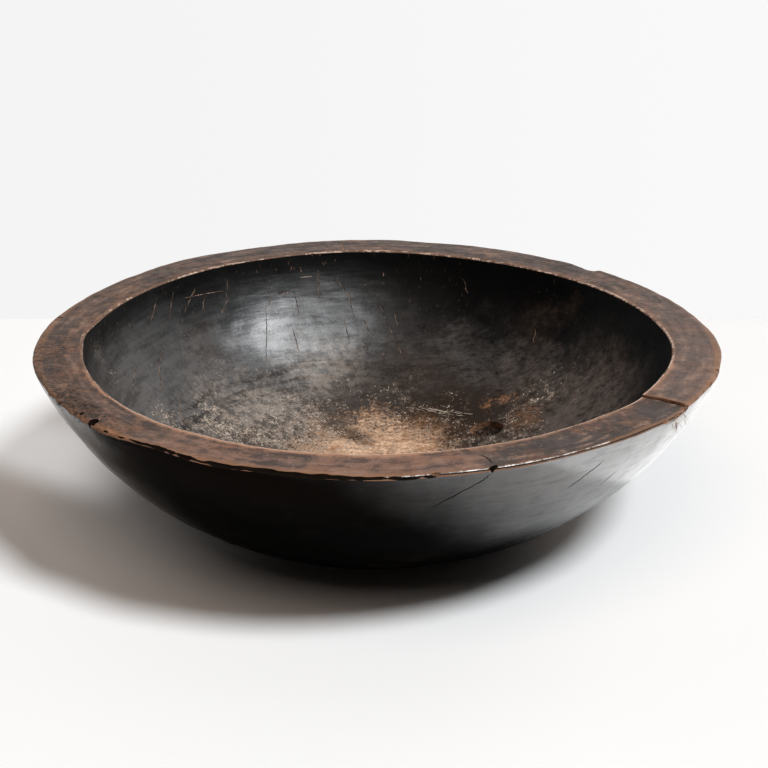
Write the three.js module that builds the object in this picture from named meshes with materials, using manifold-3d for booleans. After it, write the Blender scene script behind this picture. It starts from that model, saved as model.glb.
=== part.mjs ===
// Turned dairy bowl: one thick block of hardwood, turned, hollowed and dried out of true,
// with a dead knot left standing in its floor. Millimetres, +Z up, origin under the middle of the foot.
// Azimuths are degrees round +Z from +X, and -90 is the side that faces the viewer.
import * as THREE from 'three';
import { mergeVertices } from 'three/addons/utils/BufferGeometryUtils.js';
import Module from 'manifold-3d';

const wasm = await Module();
wasm.setup();

// Driving dimensions: the turned form
const RIM_RADIUS = 225; // outer edge of the rim
const RIM_WIDTH = 31.5; // flat land between the two edges of the rim
const BOWL_HEIGHT = 124;
const FOOT_RADIUS = 75; // flat ground that the bowl stands on
const FLOOR_THICKNESS = 17; // wood left under the middle of the hollow
const OUTER_ARRIS = 3.5; // worn rounding of the rim's outer edge
const INNER_ARRIS = 2.5; // worn rounding of the rim's inner edge

// The two walls leave the rim at a lean from the vertical, and run flat into the foot and the floor
const OUTER_LEAN = THREE.MathUtils.degToRad(20);
const OUTER_SHOULDER = 66; // how far down the outer wall keeps that lean
const OUTER_BELLY = 62; // how far out the underside stays low past the foot
const UNDERSIDE_RISE = 7; // lift of the underside over that reach
const INNER_LEAN = THREE.MathUtils.degToRad(14);
const INNER_SHOULDER = 62;
const INNER_BELLY = 115; // reach of the low middle of the hollow

// Movement of the wood as it dried: none at the foot, all of it at the rim
const OVALITY = 0.8; // longer along X and shorter along Y by this much
const SADDLE = 1.4; // rim lifted at the two end-grain sides and lowered between them
const GRAIN_AZIMUTH = THREE.MathUtils.degToRad(-45);

// Split right across the rim, with the wood on its near side sunk below the other
const SPLIT_AZIMUTH = THREE.MathUtils.degToRad(-33);
const SPLIT_GAP = 1.8; // width at the top of the rim
const SPLIT_DEPTH = 48; // down the wall to where it closes
const SPLIT_STEP = 2.2; // drop of the near side at the split
const SPLIT_SAG = 95; // length along the rim over which the drop fades out

// Split that starts at the outer edge, dies out across the rim and runs aslant down the outside
const CHECK_AZIMUTH = THREE.MathUtils.degToRad(-73.5);
const CHECK_GAP = 1.2;
const CHECK_REACH = 26; // in from the outer edge, along the top of the rim
const CHECK_RUN = 36; // along the crack, down the outside
const CHECK_SLANT = THREE.MathUtils.degToRad(48); // away from the vertical

// Long flake lost from the back of the outer edge: full depth at one end, nothing at the other
const FLAKE_AZIMUTH = THREE.MathUtils.degToRad(44);
const FLAKE_LENGTH = 52;
const FLAKE_BITE = 5.5; // loss of rim at the broken end
const FLAKE_DEPTH = 14; // down the outside

// Crumbled stretch of the outer edge
const CRUMBLE_AZIMUTH = THREE.MathUtils.degToRad(-147);
const CRUMBLE_LENGTH = 70;
const CRUMBLE_BITE = 5; // across the rim and down the outside alike

// Dead knot in the rising side of the floor: a tapered oval peg of branch wood, shrunk loose in its hole
const KNOT_PLACE = 99.5; // from the bowl's axis
const KNOT_AZIMUTH = THREE.MathUtils.degToRad(38);
const KNOT_TURN = THREE.MathUtils.degToRad(-58); // its long axis, from straight out
const KNOT_RADIUS = 13; // long half-width at its top
const KNOT_SHORT_RADIUS = 9.5;
const KNOT_DEPTH = 13;
const KNOT_TAPER = 3; // smaller at the bottom than at the top, on the radius
const KNOT_SINK = 3; // top edge below the floor round it
const KNOT_DISH = 1.5; // hollow worn in its top
const KNOT_CLEARANCE = 0.3;

// Facets
const TURN_FACETS = 96;
const WALL_STEPS = 13;
const ARRIS_STEPS = 3;
const KNOT_FACETS = 28;
const DISH_STEPS = 3;
const CUT_MARGIN = 12; // how far a cutter stands out of the wood
const HALVINGS = 40; // of the search for a place on a curve

const MOUTH_RADIUS = RIM_RADIUS - RIM_WIDTH;

// A closed three.js geometry as a solid, and a solid as a geometry
function solidOf(geometry) {
  const bare = geometry.clone();
  bare.deleteAttribute('normal');
  bare.deleteAttribute('uv');
  const merged = mergeVertices(bare, 1e-4);
  const corners = merged.index.array;
  const kept = [];
  for (let i = 0; i < corners.length; i += 3) {
    const [a, b, c] = [corners[i], corners[i + 1], corners[i + 2]];
    if (a !== b && b !== c && c !== a) kept.push(a, b, c);
  }
  return new wasm.Manifold(
    new wasm.Mesh({
      numProp: 3,
      vertProperties: merged.attributes.position.array,
      triVerts: new Uint32Array(kept),
    }),
  );
}

function geometryOf(solid) {
  const mesh = solid.getMesh();
  const geometry = new THREE.BufferGeometry();
  geometry.setAttribute('position', new THREE.BufferAttribute(mesh.vertProperties, 3));
  geometry.setIndex(new THREE.BufferAttribute(mesh.triVerts, 1));
  geometry.computeVertexNormals();
  return geometry;
}

// A flat outline pushed along +Z by a depth
function prism(points, depth) {
  const shape = new THREE.Shape(points.map(([x, y]) => new THREE.Vector2(x, y)));
  return new THREE.ExtrudeGeometry(shape, { depth, bevelEnabled: false });
}

// How far drying lifted or lowered the rim at an azimuth
function rimLift(azimuth) {
  return SADDLE * Math.cos(2 * (azimuth - GRAIN_AZIMUTH));
}

// Sets a cutter at the rim: its own X points out from the axis, Y runs along the rim and Z is up
function atRim(geometry, azimuth, radius) {
  geometry.translate(radius, 0, BOWL_HEIGHT + rimLift(azimuth));
  geometry.rotateZ(azimuth);
  return solidOf(geometry);
}

// Inner wall of the half section, from the mouth down to the middle of the floor
const innerWall = new THREE.CubicBezierCurve(
  new THREE.Vector2(MOUTH_RADIUS - INNER_ARRIS * Math.tan(INNER_LEAN), BOWL_HEIGHT - INNER_ARRIS),
  new THREE.Vector2(
    MOUTH_RADIUS - INNER_SHOULDER * Math.sin(INNER_LEAN),
    BOWL_HEIGHT - INNER_SHOULDER * Math.cos(INNER_LEAN),
  ),
  new THREE.Vector2(INNER_BELLY, FLOOR_THICKNESS),
  new THREE.Vector2(0, FLOOR_THICKNESS),
);

// Outer wall of the half section, from the foot up to the rim
const outerWall = new THREE.CubicBezierCurve(
  new THREE.Vector2(FOOT_RADIUS, 0),
  new THREE.Vector2(FOOT_RADIUS + OUTER_BELLY, UNDERSIDE_RISE),
  new THREE.Vector2(
    RIM_RADIUS - OUTER_SHOULDER * Math.sin(OUTER_LEAN),
    BOWL_HEIGHT - OUTER_SHOULDER * Math.cos(OUTER_LEAN),
  ),
  new THREE.Vector2(RIM_RADIUS - OUTER_ARRIS * Math.tan(OUTER_LEAN), BOWL_HEIGHT - OUTER_ARRIS),
);

// The half section, from the middle of the foot round the rim to the middle of the floor
function halfSection() {
  const outerArris = new THREE.QuadraticBezierCurve(
    outerWall.v3,
    new THREE.Vector2(RIM_RADIUS, BOWL_HEIGHT),
    new THREE.Vector2(RIM_RADIUS - OUTER_ARRIS, BOWL_HEIGHT),
  );
  const innerArris = new THREE.QuadraticBezierCurve(
    new THREE.Vector2(MOUTH_RADIUS + INNER_ARRIS, BOWL_HEIGHT),
    new THREE.Vector2(MOUTH_RADIUS, BOWL_HEIGHT),
    innerWall.v0,
  );
  return [
    new THREE.Vector2(0, 0),
    ...outerWall.getPoints(WALL_STEPS),
    ...outerArris.getPoints(ARRIS_STEPS).slice(1),
    ...innerArris.getPoints(ARRIS_STEPS),
    ...innerWall.getPoints(WALL_STEPS).slice(1),
  ];
}

// Turns the section into a bowl, then moves its wood as drying did
function turnedBowl() {
  const geometry = new THREE.LatheGeometry(halfSection(), TURN_FACETS);
  geometry.rotateX(Math.PI / 2);
  const position = geometry.attributes.position;
  for (let i = 0; i < position.count; i++) {
    const [x, y, z] = [position.getX(i), position.getY(i), position.getZ(i)];
    const share = (z / BOWL_HEIGHT) ** 2;
    const azimuth = Math.atan2(y, x);
    const stretch = 1 + (share * OVALITY * Math.cos(2 * azimuth)) / RIM_RADIUS;
    position.setXYZ(i, x * stretch, y * stretch, z + share * rimLift(azimuth));
  }
  return solidOf(geometry);
}

// Wedge that opens at the top of the rim and closes down in the wall
function splitCutter() {
  const half = SPLIT_GAP / 2;
  const spread = (half * (SPLIT_DEPTH + CUT_MARGIN)) / SPLIT_DEPTH;
  const length = RIM_WIDTH + SPLIT_DEPTH + 2 * CUT_MARGIN;
  const wedge = prism([[0, -SPLIT_DEPTH], [spread, CUT_MARGIN], [-spread, CUT_MARGIN]], length);
  wedge.rotateX(Math.PI / 2);
  wedge.rotateZ(Math.PI / 2);
  return atRim(wedge, SPLIT_AZIMUTH, RIM_RADIUS + CUT_MARGIN - length);
}

// Long thin wedge that takes the near side of the split down below the far side
function sagCutter() {
  const slope = SPLIT_STEP / SPLIT_SAG;
  const reach = CUT_MARGIN / slope;
  const length = RIM_WIDTH + SPLIT_SAG + 2 * CUT_MARGIN;
  const wedge = prism([[0, -SPLIT_STEP], [0, CUT_MARGIN], [-SPLIT_SAG - reach, CUT_MARGIN]], length);
  wedge.rotateX(Math.PI / 2);
  wedge.rotateZ(Math.PI / 2);
  return atRim(wedge, SPLIT_AZIMUTH, RIM_RADIUS + CUT_MARGIN - length);
}

// Thin three-cornered blade, laid over so that the crack runs aslant down the outside
function checkCutter() {
  const blade = prism(
    [[-CHECK_REACH, 0], [-CHECK_REACH, CUT_MARGIN], [CUT_MARGIN, CUT_MARGIN], [CUT_MARGIN, -CHECK_RUN]],
    CHECK_GAP,
  );
  blade.translate(0, 0, -CHECK_GAP / 2);
  blade.rotateX(Math.PI / 2);
  blade.rotateX(-CHECK_SLANT);
  return atRim(blade, CHECK_AZIMUTH, RIM_RADIUS);
}

// Upright wedge for the flake: its broken end is square to the edge and it thins out along the rim
function flakeCutter() {
  const outward = FLAKE_LENGTH * Math.sin(FLAKE_LENGTH / (2 * RIM_RADIUS));
  const wedge = prism(
    [[-FLAKE_BITE, 0], [CUT_MARGIN, 0], [CUT_MARGIN, FLAKE_LENGTH], [-outward, FLAKE_LENGTH]],
    FLAKE_DEPTH + CUT_MARGIN,
  );
  wedge.translate(0, 0, -FLAKE_DEPTH);
  return atRim(wedge, FLAKE_AZIMUTH, RIM_RADIUS);
}

// Three-cornered bar along the rim that takes the corner off a stretch of the outer edge
function crumbleCutter() {
  const reach = CRUMBLE_BITE + CUT_MARGIN;
  const outline = [[-reach, CUT_MARGIN], [CUT_MARGIN, -reach], [CUT_MARGIN, CUT_MARGIN]];
  const corner = prism(outline, CRUMBLE_LENGTH);
  corner.translate(0, 0, -CRUMBLE_LENGTH / 2);
  corner.rotateX(Math.PI / 2);
  return atRim(corner, CRUMBLE_AZIMUTH, RIM_RADIUS);
}

// Where the inner wall passes a given distance from the axis: its height and its slope
function floorAt(radius) {
  let [low, high] = [0, 1];
  for (let i = 0; i < HALVINGS; i++) {
    const middle = (low + high) / 2;
    if (innerWall.getPoint(middle).x > radius) low = middle;
    else high = middle;
  }
  const tangent = innerWall.getTangent(low);
  return { height: innerWall.getPoint(low).y, slope: Math.atan2(-tangent.y, -tangent.x) };
}

// Oval peg about its own axis: a foot and a taper of its own, under the upper section that is given
function knotPeg(clearance, upperSection) {
  const head = KNOT_RADIUS + clearance;
  const bottom = -KNOT_SINK - KNOT_DEPTH - clearance;
  const section = [
    new THREE.Vector2(0, bottom),
    new THREE.Vector2(head - KNOT_TAPER, bottom),
    new THREE.Vector2(head, -KNOT_SINK),
    ...upperSection,
  ];
  const peg = new THREE.LatheGeometry(section, KNOT_FACETS);
  peg.rotateX(Math.PI / 2);
  peg.scale(1, (KNOT_SHORT_RADIUS + clearance) / head, 1);
  return peg.rotateZ(KNOT_TURN);
}

// The knot's top is worn to a shallow dish
function knotTop() {
  const dish = [];
  for (let step = 1; step <= DISH_STEPS; step++) {
    const share = 1 - step / DISH_STEPS;
    dish.push(new THREE.Vector2(KNOT_RADIUS * share, -KNOT_SINK - KNOT_DISH * (1 - share ** 2)));
  }
  return dish;
}

// The hole goes on up past the floor, so that it cuts clear of it
function knotHole() {
  const mouth = new THREE.Vector2(KNOT_RADIUS + KNOT_CLEARANCE, CUT_MARGIN);
  return knotPeg(KNOT_CLEARANCE, [mouth, new THREE.Vector2(0, CUT_MARGIN)]);
}

// Frame of the knot: its own Z stands square on the sloping floor
const seat = floorAt(KNOT_PLACE);
const knotFrame = new THREE.Group();
knotFrame.rotation.set(0, -seat.slope, KNOT_AZIMUTH, 'ZYX');
knotFrame.position.set(KNOT_PLACE, 0, seat.height).applyAxisAngle(new THREE.Vector3(0, 0, 1), KNOT_AZIMUTH);
knotFrame.updateMatrix();

const cutters = [
  splitCutter(),
  sagCutter(),
  checkCutter(),
  flakeCutter(),
  crumbleCutter(),
  solidOf(knotHole().applyMatrix4(knotFrame.matrix)),
];
const bowlSolid = cutters.reduce((wood, cutter) => wood.subtract(cutter), turnedBowl());

const darkWood = new THREE.MeshStandardMaterial({ color: 0x2b211c, roughness: 0.45, metalness: 0 });
const knotWood = new THREE.MeshStandardMaterial({ color: 0x1c1512, roughness: 0.6, metalness: 0 });

const bowlBody = new THREE.Mesh(geometryOf(bowlSolid), darkWood);
bowlBody.name = 'bowl_body';

const floorKnot = new THREE.Mesh(knotPeg(0, knotTop()), knotWood);
floorKnot.name = 'floor_knot';
knotFrame.add(floorKnot);

const dairyBowl = new THREE.Group();
dairyBowl.name = 'dairy_bowl';
dairyBowl.add(bowlBody, knotFrame);

export default dairyBowl;
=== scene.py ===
# %% [markdown]
# # An old turned dairy bowl
#
# A wide wooden bowl, turned on a lathe from one block and used for years to let milk stand until
# the cream rose. It has dried out of round, its flat rim has split in two places, its outside is
# black and glossy from handling, and the floor is scrubbed down to bare, torn wood round a knot.
# This lesson builds its looks round the CAD solids, which give the size and the place of each part.

import math
import random

import bmesh
import bpy
from mathutils import Matrix, Vector
from mathutils.geometry import interpolate_bezier


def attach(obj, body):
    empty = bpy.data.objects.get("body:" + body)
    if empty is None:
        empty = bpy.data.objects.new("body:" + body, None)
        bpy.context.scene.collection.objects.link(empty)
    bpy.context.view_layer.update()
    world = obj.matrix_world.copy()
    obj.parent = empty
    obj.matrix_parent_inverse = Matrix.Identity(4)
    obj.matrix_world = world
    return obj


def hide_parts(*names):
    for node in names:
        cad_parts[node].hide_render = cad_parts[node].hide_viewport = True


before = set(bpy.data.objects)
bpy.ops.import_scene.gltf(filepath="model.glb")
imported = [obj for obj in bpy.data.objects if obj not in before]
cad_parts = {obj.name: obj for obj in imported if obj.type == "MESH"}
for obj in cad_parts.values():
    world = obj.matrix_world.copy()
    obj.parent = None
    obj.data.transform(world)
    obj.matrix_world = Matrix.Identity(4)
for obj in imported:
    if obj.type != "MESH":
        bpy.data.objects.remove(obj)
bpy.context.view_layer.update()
MM = 0.001

# %% [markdown]
# ## Camera
# The photograph looks down on the bowl from about one metre, a little more than half a metre above
# the table. A long lens keeps the rim a quiet ellipse. The tilt is what the shape of that ellipse
# asks for, so the camera is placed by numbers and not by eye.

# %% Camera
CAMERA_PLACE = (-0.0021, -1.1434, 0.5419)
CAMERA_PITCH = math.radians(68.47)
CAMERA_YAW = -0.0053
bpy.ops.object.camera_add(location=CAMERA_PLACE, rotation=(CAMERA_PITCH, 0, CAMERA_YAW))
camera = bpy.context.object
camera.name = "photo_camera"
camera.data.lens = 85
camera.data.sensor_width = 36
bpy.context.scene.camera = camera
print("camera", camera.name, "lens", camera.data.lens, "mm")

# %% [markdown]
# ## Helpers for picking and shaping
# An operator acts on everything that is selected, so each step first lets go of all objects. Points
# are then picked by where they are, which is what a modeller does with the mouse.

# %% Picking helpers


def let_go():
    """Leaves edit mode and deselects every object."""
    if bpy.context.object and bpy.context.object.mode != "OBJECT":
        bpy.ops.object.mode_set(mode="OBJECT")
    bpy.ops.object.select_all(action="DESELECT")


def take(piece):
    """Makes one object the only selected and active one."""
    let_go()
    piece.select_set(True)
    bpy.context.view_layer.objects.active = piece


def edit(piece):
    """Opens one object in edit mode with nothing picked."""
    take(piece)
    bpy.ops.object.mode_set(mode="EDIT")
    bpy.ops.mesh.select_mode(type="VERT")
    bpy.ops.mesh.select_all(action="DESELECT")


def pick_all():
    """Picks the whole open mesh."""
    bpy.ops.mesh.select_all(action="SELECT")


def pick(piece, wanted):
    """Picks the points of the open mesh for which wanted(place) is true."""
    shape = bmesh.from_edit_mesh(piece.data)
    for point in shape.verts:
        point.select = wanted(point.co)
    shape.select_flush_mode()
    bmesh.update_edit_mesh(piece.data)


def pick_nearest(piece, place):
    """Picks only the point of the open mesh that is nearest to a place."""
    shape = bmesh.from_edit_mesh(piece.data)
    nearest = min(shape.verts, key=lambda point: (point.co - place).length_squared)
    for point in shape.verts:
        point.select = point is nearest
    shape.select_flush_mode()
    bmesh.update_edit_mesh(piece.data)


def extrude(move):
    """Extrudes what is picked by a move."""
    bpy.ops.mesh.extrude_region_move(TRANSFORM_OT_translate={"value": move})


def face_outward():
    """Turns every face of the open mesh to look outward."""
    pick_all()
    bpy.ops.mesh.normals_make_consistent(inside=False)


def settle(place, scale):
    """Moves and scales the object just added, and writes this and its turn into its mesh."""
    piece = bpy.context.object
    piece.location = place
    piece.scale = scale
    bpy.ops.object.transform_apply(location=True, rotation=True, scale=True)
    return piece


def apply_modifier(piece, kind, **settings):
    """Adds a modifier, sets it and applies it."""
    take(piece)
    modifier = piece.modifiers.new(kind.lower(), kind)
    for setting, value in settings.items():
        setattr(modifier, setting, value)
    bpy.ops.object.modifier_apply(modifier=modifier.name)


def around(radius, azimuth, height):
    """The place at a radius and height in mm and an azimuth in degrees, 0 being +X."""
    angle = math.radians(azimuth)
    return Vector((radius * math.cos(angle), radius * math.sin(angle), height)) * MM


print("helpers ready")

# %% [markdown]
# ## Stage
# The bowl stands on white board in front of a white wall. The floor keeps the real shadow. Both are
# one sheet: a plane whose back edge is extruded upwards. The sheet throws no shadow of its own, so
# that a lamp may stand behind the wall.

# %% Stage mesh
WALL_DISTANCE = 0.391
STAGE_REACH = 4.0
let_go()
bpy.ops.mesh.primitive_plane_add(size=1, location=(0, 0, 0))
stage = bpy.context.object
stage.name = "white_stage"
edit(stage)
pick_all()
stage_depth = STAGE_REACH + WALL_DISTANCE
bpy.ops.transform.resize(value=(2 * STAGE_REACH, stage_depth, 1))
bpy.ops.transform.translate(value=(0, WALL_DISTANCE - stage_depth / 2, 0))
pick(stage, lambda place: place.y > 0)
extrude((0, 0, 3.0))
pick_all()
bpy.ops.mesh.normals_make_consistent(inside=True)
let_go()
stage.visible_shadow = False
print("stage faces", len(stage.data.polygons), [list(face.normal) for face in stage.data.polygons])

# %% [markdown]
# ## Node helpers
# A material is a small network. These helpers add one node each and return its output, so that a
# finish reads from top to bottom like a recipe: a number or colour is typed in, and an output of
# an earlier node is linked. An output knows its network, so most helpers need not be told it.

# %% Node helpers: sums and mixes


def add_node(tree, kind, inputs=None, **settings):
    """Adds one shader node, sets its options, and types in or links its inputs."""
    made = tree.nodes.new("ShaderNode" + kind)
    for option, value in settings.items():
        setattr(made, option, value)
    for socket, value in (inputs or {}).items():
        if isinstance(value, bpy.types.NodeSocket):
            tree.links.new(value, made.inputs[socket])
        else:
            made.inputs[socket].default_value = value
    return made


def home(*values):
    """The network of the first value that is the output of a node."""
    return next(value.id_data for value in values if isinstance(value, bpy.types.NodeSocket))


def calc(operation, first, second=0.0):
    """One sum of two numbers."""
    return add_node(home(first, second), "Math", {0: first, 1: second}, operation=operation).outputs[0]


def vector_calc(operation, first, second=(0, 0, 0)):
    """One step with two vectors; the outputs are a vector and a number."""
    return add_node(first.id_data, "VectorMath", {0: first, 1: second}, operation=operation).outputs


def fade(value, start, end, low=0.0, high=1.0):
    """A soft step from low to high while value goes from start to end."""
    sockets = {"Value": value, 1: start, 2: end, 3: low, 4: high}
    return add_node(value.id_data, "MapRange", sockets, interpolation_type="SMOOTHSTEP").outputs[0]


def paint(share, under, over):
    """Lays one colour over another by a share from 0 to 1."""
    return add_node(share.id_data, "Mix", {0: share, 6: under, 7: over}, data_type="RGBA").outputs[2]


def level(share, under, over):
    """Goes from one number to another by a share from 0 to 1."""
    return add_node(share.id_data, "Mix", {0: share, 2: under, 3: over}).outputs[0]


print("helpers for sums and mixes ready")

# %% Node helpers: patterns and materials


def stretch(place, scale, turn=0.0):
    """Turns a pattern about Z and scales it along each axis."""
    sockets = {"Vector": place, "Rotation": (0, 0, math.radians(turn)), "Scale": scale}
    return add_node(place.id_data, "Mapping", sockets).outputs[0]


def noise(place, scale, detail=2.0, roughness=0.5, distortion=0.0):
    """Soft noise at a scale that may be a number or an output."""
    sockets = {"Vector": place, "Scale": scale, "Detail": detail, "Roughness": roughness}
    return add_node(place.id_data, "TexNoise", {**sockets, "Distortion": distortion}).outputs[0]


def cloud(place, size, detail=3.0, roughness=0.55, distortion=0.0):
    """Soft noise with blotches of about the given size in mm."""
    return noise(place, 1000 / size, detail, roughness, distortion)


def object_place(tree):
    """The place on the piece, in metres in the piece's own frame."""
    return add_node(tree, "TexCoord").outputs["Object"]


def flat_place(tree):
    """The three numbers of the place, and the place with its height left out."""
    parts = add_node(tree, "SeparateXYZ", {0: object_place(tree)}).outputs
    return parts, add_node(tree, "CombineXYZ", {0: parts[0], 1: parts[1]}).outputs[0]


def new_material(name):
    """A material with an empty network but its output; returns it and its tree."""
    material = bpy.data.materials.new(name)
    material.use_nodes = True
    material.node_tree.nodes.clear()
    return material, material.node_tree


def close_material(tree, shader):
    """Links a shader to the material's output."""
    add_node(tree, "OutputMaterial", {"Surface": shader})


def tell(words, tree):
    """Says how many nodes a network has."""
    print(words, "with", len(tree.nodes), "nodes")


print("helpers for patterns and materials ready")

# %% [markdown]
# ## White stage finish
# White board is plain diffuse paint. From behind and from below the sheet is see-through, so that
# the bowl can be looked at from every side. The wall is lit by lamps that the picture doesn't show,
# so it is given its white directly where the camera or a shiny surface sees it. It sends little light
# back to the floor, as a wall further away would. The floor's white is painted a little darker towards
# the right, a painted shade that evens out the lamps, which light that side hardest. Behind the shadow
# on the left a soft strip of the floor glows with its white where the camera or a shiny surface sees it:
# painted light that makes that part of the shadow paler.

# %% Stage finish
FLOOR_LEFT = (0.97, 0.97, 0.97, 1)
FLOOR_RIGHT = (0.88, 0.88, 0.88, 1)
WALL_BOUNCE = (0.25, 0.25, 0.25, 1)
WALL_LEFT = (0.905, 0.905, 0.905, 1)
WALL_RIGHT = (0.945, 0.945, 0.945, 1)


def board_material(name, wall):
    """White board that is see-through from its back and shows part of its white directly."""
    material, tree = new_material(name)
    across, deep = flat_place(tree)[0][:2]
    rays = add_node(tree, "LightPath").outputs
    seen = calc("MAXIMUM", rays["Is Camera Ray"], rays["Is Glossy Ray"])
    if wall:
        white = paint(fade(across, -0.25, 0.32), WALL_LEFT, WALL_RIGHT)
        shader = add_node(tree, "BsdfDiffuse", {"Color": WALL_BOUNCE}).outputs[0]
    else:
        # Painted shade: the floor's white darkens towards the right, where the lamps light it hardest.
        white = paint(fade(across, -0.35, 0.35), FLOOR_LEFT, FLOOR_RIGHT)
        shader = add_node(tree, "BsdfDiffuse", {"Color": white}).outputs[0]
        # Painted light: a soft slanting strip behind the shadow on the left glows with the floor's white.
        slanting = calc("ADD", deep, calc("MULTIPLY", across, 0.68))
        painted_light_strip = calc("MULTIPLY", fade(slanting, -0.15, -0.09), fade(slanting, 0.05, -0.06))
        painted_light_strip = calc("MULTIPLY", painted_light_strip, fade(across, -0.165, -0.235, 0.0, 0.42))
        seen = calc("MULTIPLY", seen, painted_light_strip)
    shine = add_node(tree, "Emission", {"Color": white, "Strength": 1.0}).outputs[0]
    shader = add_node(tree, "MixShader", {0: seen, 1: shader, 2: shine}).outputs[0]
    back = add_node(tree, "NewGeometry").outputs["Backfacing"]
    clear = add_node(tree, "BsdfTransparent").outputs[0]
    close_material(tree, add_node(tree, "MixShader", {0: back, 1: shader, 2: clear}).outputs[0])
    return material


stage.data.materials.append(board_material("white_floor", False))
stage.data.materials.append(board_material("white_wall", True))
for face in stage.data.polygons:
    face.material_index = 1 if abs(face.normal.y) > 0.5 else 0
print("stage materials", [material.name for material in stage.data.materials])

# %% [markdown]
# ## Light
# The shadow falls to the left and back with a soft edge: one broad lamp stands high on the right and
# in front. Its paler borders tell of a wide fill at the front left and of a low one behind on the
# right. The board to the right is lit hardest of all, so a low reflector lies there, hidden from the
# camera, and brightens that flank of the bowl. The rest of the room is nearly dark.

# %% Light
# Azimuth and elevation in degrees, distance and width in metres, power in watts
LAMPS = {
    "key_lamp": (-41, 55, 8, 2.0, 600),
    "front_fill": (-106, 60, 8, 6.0, 157),
    "back_fill": (53, 23, 6, 2.8, 50),
}
COOL_LIGHT = (0.94, 0.975, 1.0)
WARM_LIGHT = (1.0, 0.82, 0.70)
ROOM_LIGHT = (1.0, 0.86, 0.76, 1)
REFLECTOR_PLACE = (0.42, -0.06, 0.002)

for name, (azimuth, elevation, distance, width, power) in LAMPS.items():
    rise = math.radians(elevation)
    way = around(1000 * math.cos(rise), azimuth, 1000 * math.sin(rise))
    let_go()
    bpy.ops.object.light_add(type="AREA", location=way * distance)
    made = bpy.context.object
    made.name = name
    made.rotation_euler = way.to_track_quat("Z", "Y").to_euler()
    made.data.shape = "DISK"
    made.data.size = width
    made.data.energy = power
    made.data.color = COOL_LIGHT if name == "key_lamp" else WARM_LIGHT
    made.visible_camera = False

let_go()
bpy.ops.object.light_add(type="AREA", location=REFLECTOR_PLACE, rotation=(math.pi, 0, 0))
reflector = bpy.context.object
reflector.name = "low_reflector"
reflector.data.shape = "RECTANGLE"
reflector.data.size = 0.46
reflector.data.size_y = 0.8
reflector.data.energy = 1.3
reflector.visible_camera = False

world = bpy.data.worlds.new("dim_room")
bpy.context.scene.world = world
world.use_nodes = True
world.node_tree.nodes["Background"].inputs[0].default_value = ROOM_LIGHT
world.node_tree.nodes["Background"].inputs[1].default_value = 0.02
bpy.context.scene.view_settings.view_transform = "Standard"

# %% [markdown]
# ## Shared effects
# Several finishes of this bowl need to know where a point lies on the lathe, which way the fibres
# run, and where pale torn fibres stand up. Each of these is a node group, built once, with named
# inputs and outputs. The groups put out numbers only; the shaders stay in the materials.

# %% Group helpers


def new_group(name, inputs, outputs):
    """An empty node group with number sockets; returns the tree, its inputs and its outputs."""
    tree = bpy.data.node_groups.new(name, "ShaderNodeTree")
    for label, value in inputs.items():
        socket = tree.interface.new_socket(label, in_out="INPUT", socket_type="NodeSocketFloat")
        socket.default_value = value
    for label in outputs:
        tree.interface.new_socket(label, in_out="OUTPUT", socket_type="NodeSocketFloat")
    start = tree.nodes.new("NodeGroupInput").outputs
    end = tree.nodes.new("NodeGroupOutput").inputs
    return tree, start, end


def use_group(tree, group, **values):
    """Places a group in a material and types in or links its inputs; returns its outputs."""
    made = tree.nodes.new("ShaderNodeGroup")
    made.node_tree = group
    for label, value in values.items():
        if isinstance(value, bpy.types.NodeSocket):
            tree.links.new(value, made.inputs[label])
        else:
            made.inputs[label].default_value = value
    return made.outputs


print("group helpers ready")

# %% [markdown]
# ### Place on the lathe
# Radius and height in mm and azimuth in degrees. They let a finish say "near the rim" or "on the
# floor" in a turner's own terms.

# %% Group: place on the lathe
lathe_place, start, end = new_group("lathe_place", {}, ["Radius", "Height", "Azimuth"])
parts, flat = flat_place(lathe_place)
length = vector_calc("LENGTH", flat)["Value"]
angle = calc("ARCTAN2", parts[1], parts[0])
lathe_place.links.new(calc("MULTIPLY", length, 1000), end["Radius"])
lathe_place.links.new(calc("MULTIPLY", parts[2], 1000), end["Height"])
lathe_place.links.new(calc("DEGREES", angle), end["Azimuth"])
tell("group lathe_place", lathe_place)

# %% [markdown]
# ### Fibre grain
# The block was split from a trunk, so its fibres all run one way, nearly along X. Noise that is
# squeezed along X becomes streaks. A second, thinner set gives the open pores as dark dashes.

# %% Group: fibre grain
fibre_grain, start, end = new_group("fibre_grain", {"Width": 1.4}, ["Streak", "Pores"])
along = stretch(object_place(fibre_grain), (0.05, 1, 1), 7)
scale = calc("DIVIDE", 1000, start["Width"])
fibre_grain.links.new(noise(along, scale, 4, 0.6, 0.3), end["Streak"])
dash = noise(along, calc("MULTIPLY", scale, 1.7), 2, 0.5)
fibre_grain.links.new(fade(dash, 0.40, 0.30), end["Pores"])
tell("group fibre_grain", fibre_grain)

# %% [markdown]
# ### Turning marks
# The gouge and the growth rings leave soft bands that run round the bowl and wander a little. Noise
# that only sees radius and height, each shifted by a slow noise, gives such bands with no seam.

# %% Group: turning marks
turning_marks, start, end = new_group("turning_marks", {"Width": 7, "Wander": 22}, ["Band"])
spot = use_group(turning_marks, lathe_place)
slow = cloud(object_place(turning_marks), 90, 2)
shift = calc("MULTIPLY", calc("SUBTRACT", slow, 0.5), start["Wander"])
ring = calc("ADD", spot["Radius"], shift)
rise = calc("ADD", spot["Height"], shift)
section_place = add_node(turning_marks, "CombineXYZ", {0: ring, 2: rise}).outputs[0]
scale = calc("DIVIDE", 1, start["Width"])
turning_marks.links.new(noise(section_place, scale, 3, 0.6), end["Band"])
tell("group turning_marks", turning_marks)

# %% [markdown]
# ### Pale flecks
# Years of scouring have torn up short fibres that catch the light. They curl every way like chopped
# straw. The thin line where a noise crosses its middle value is such a curl, so two noises give two
# sets of curls, and a finer noise cuts them into short pieces with tones of their own.

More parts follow.
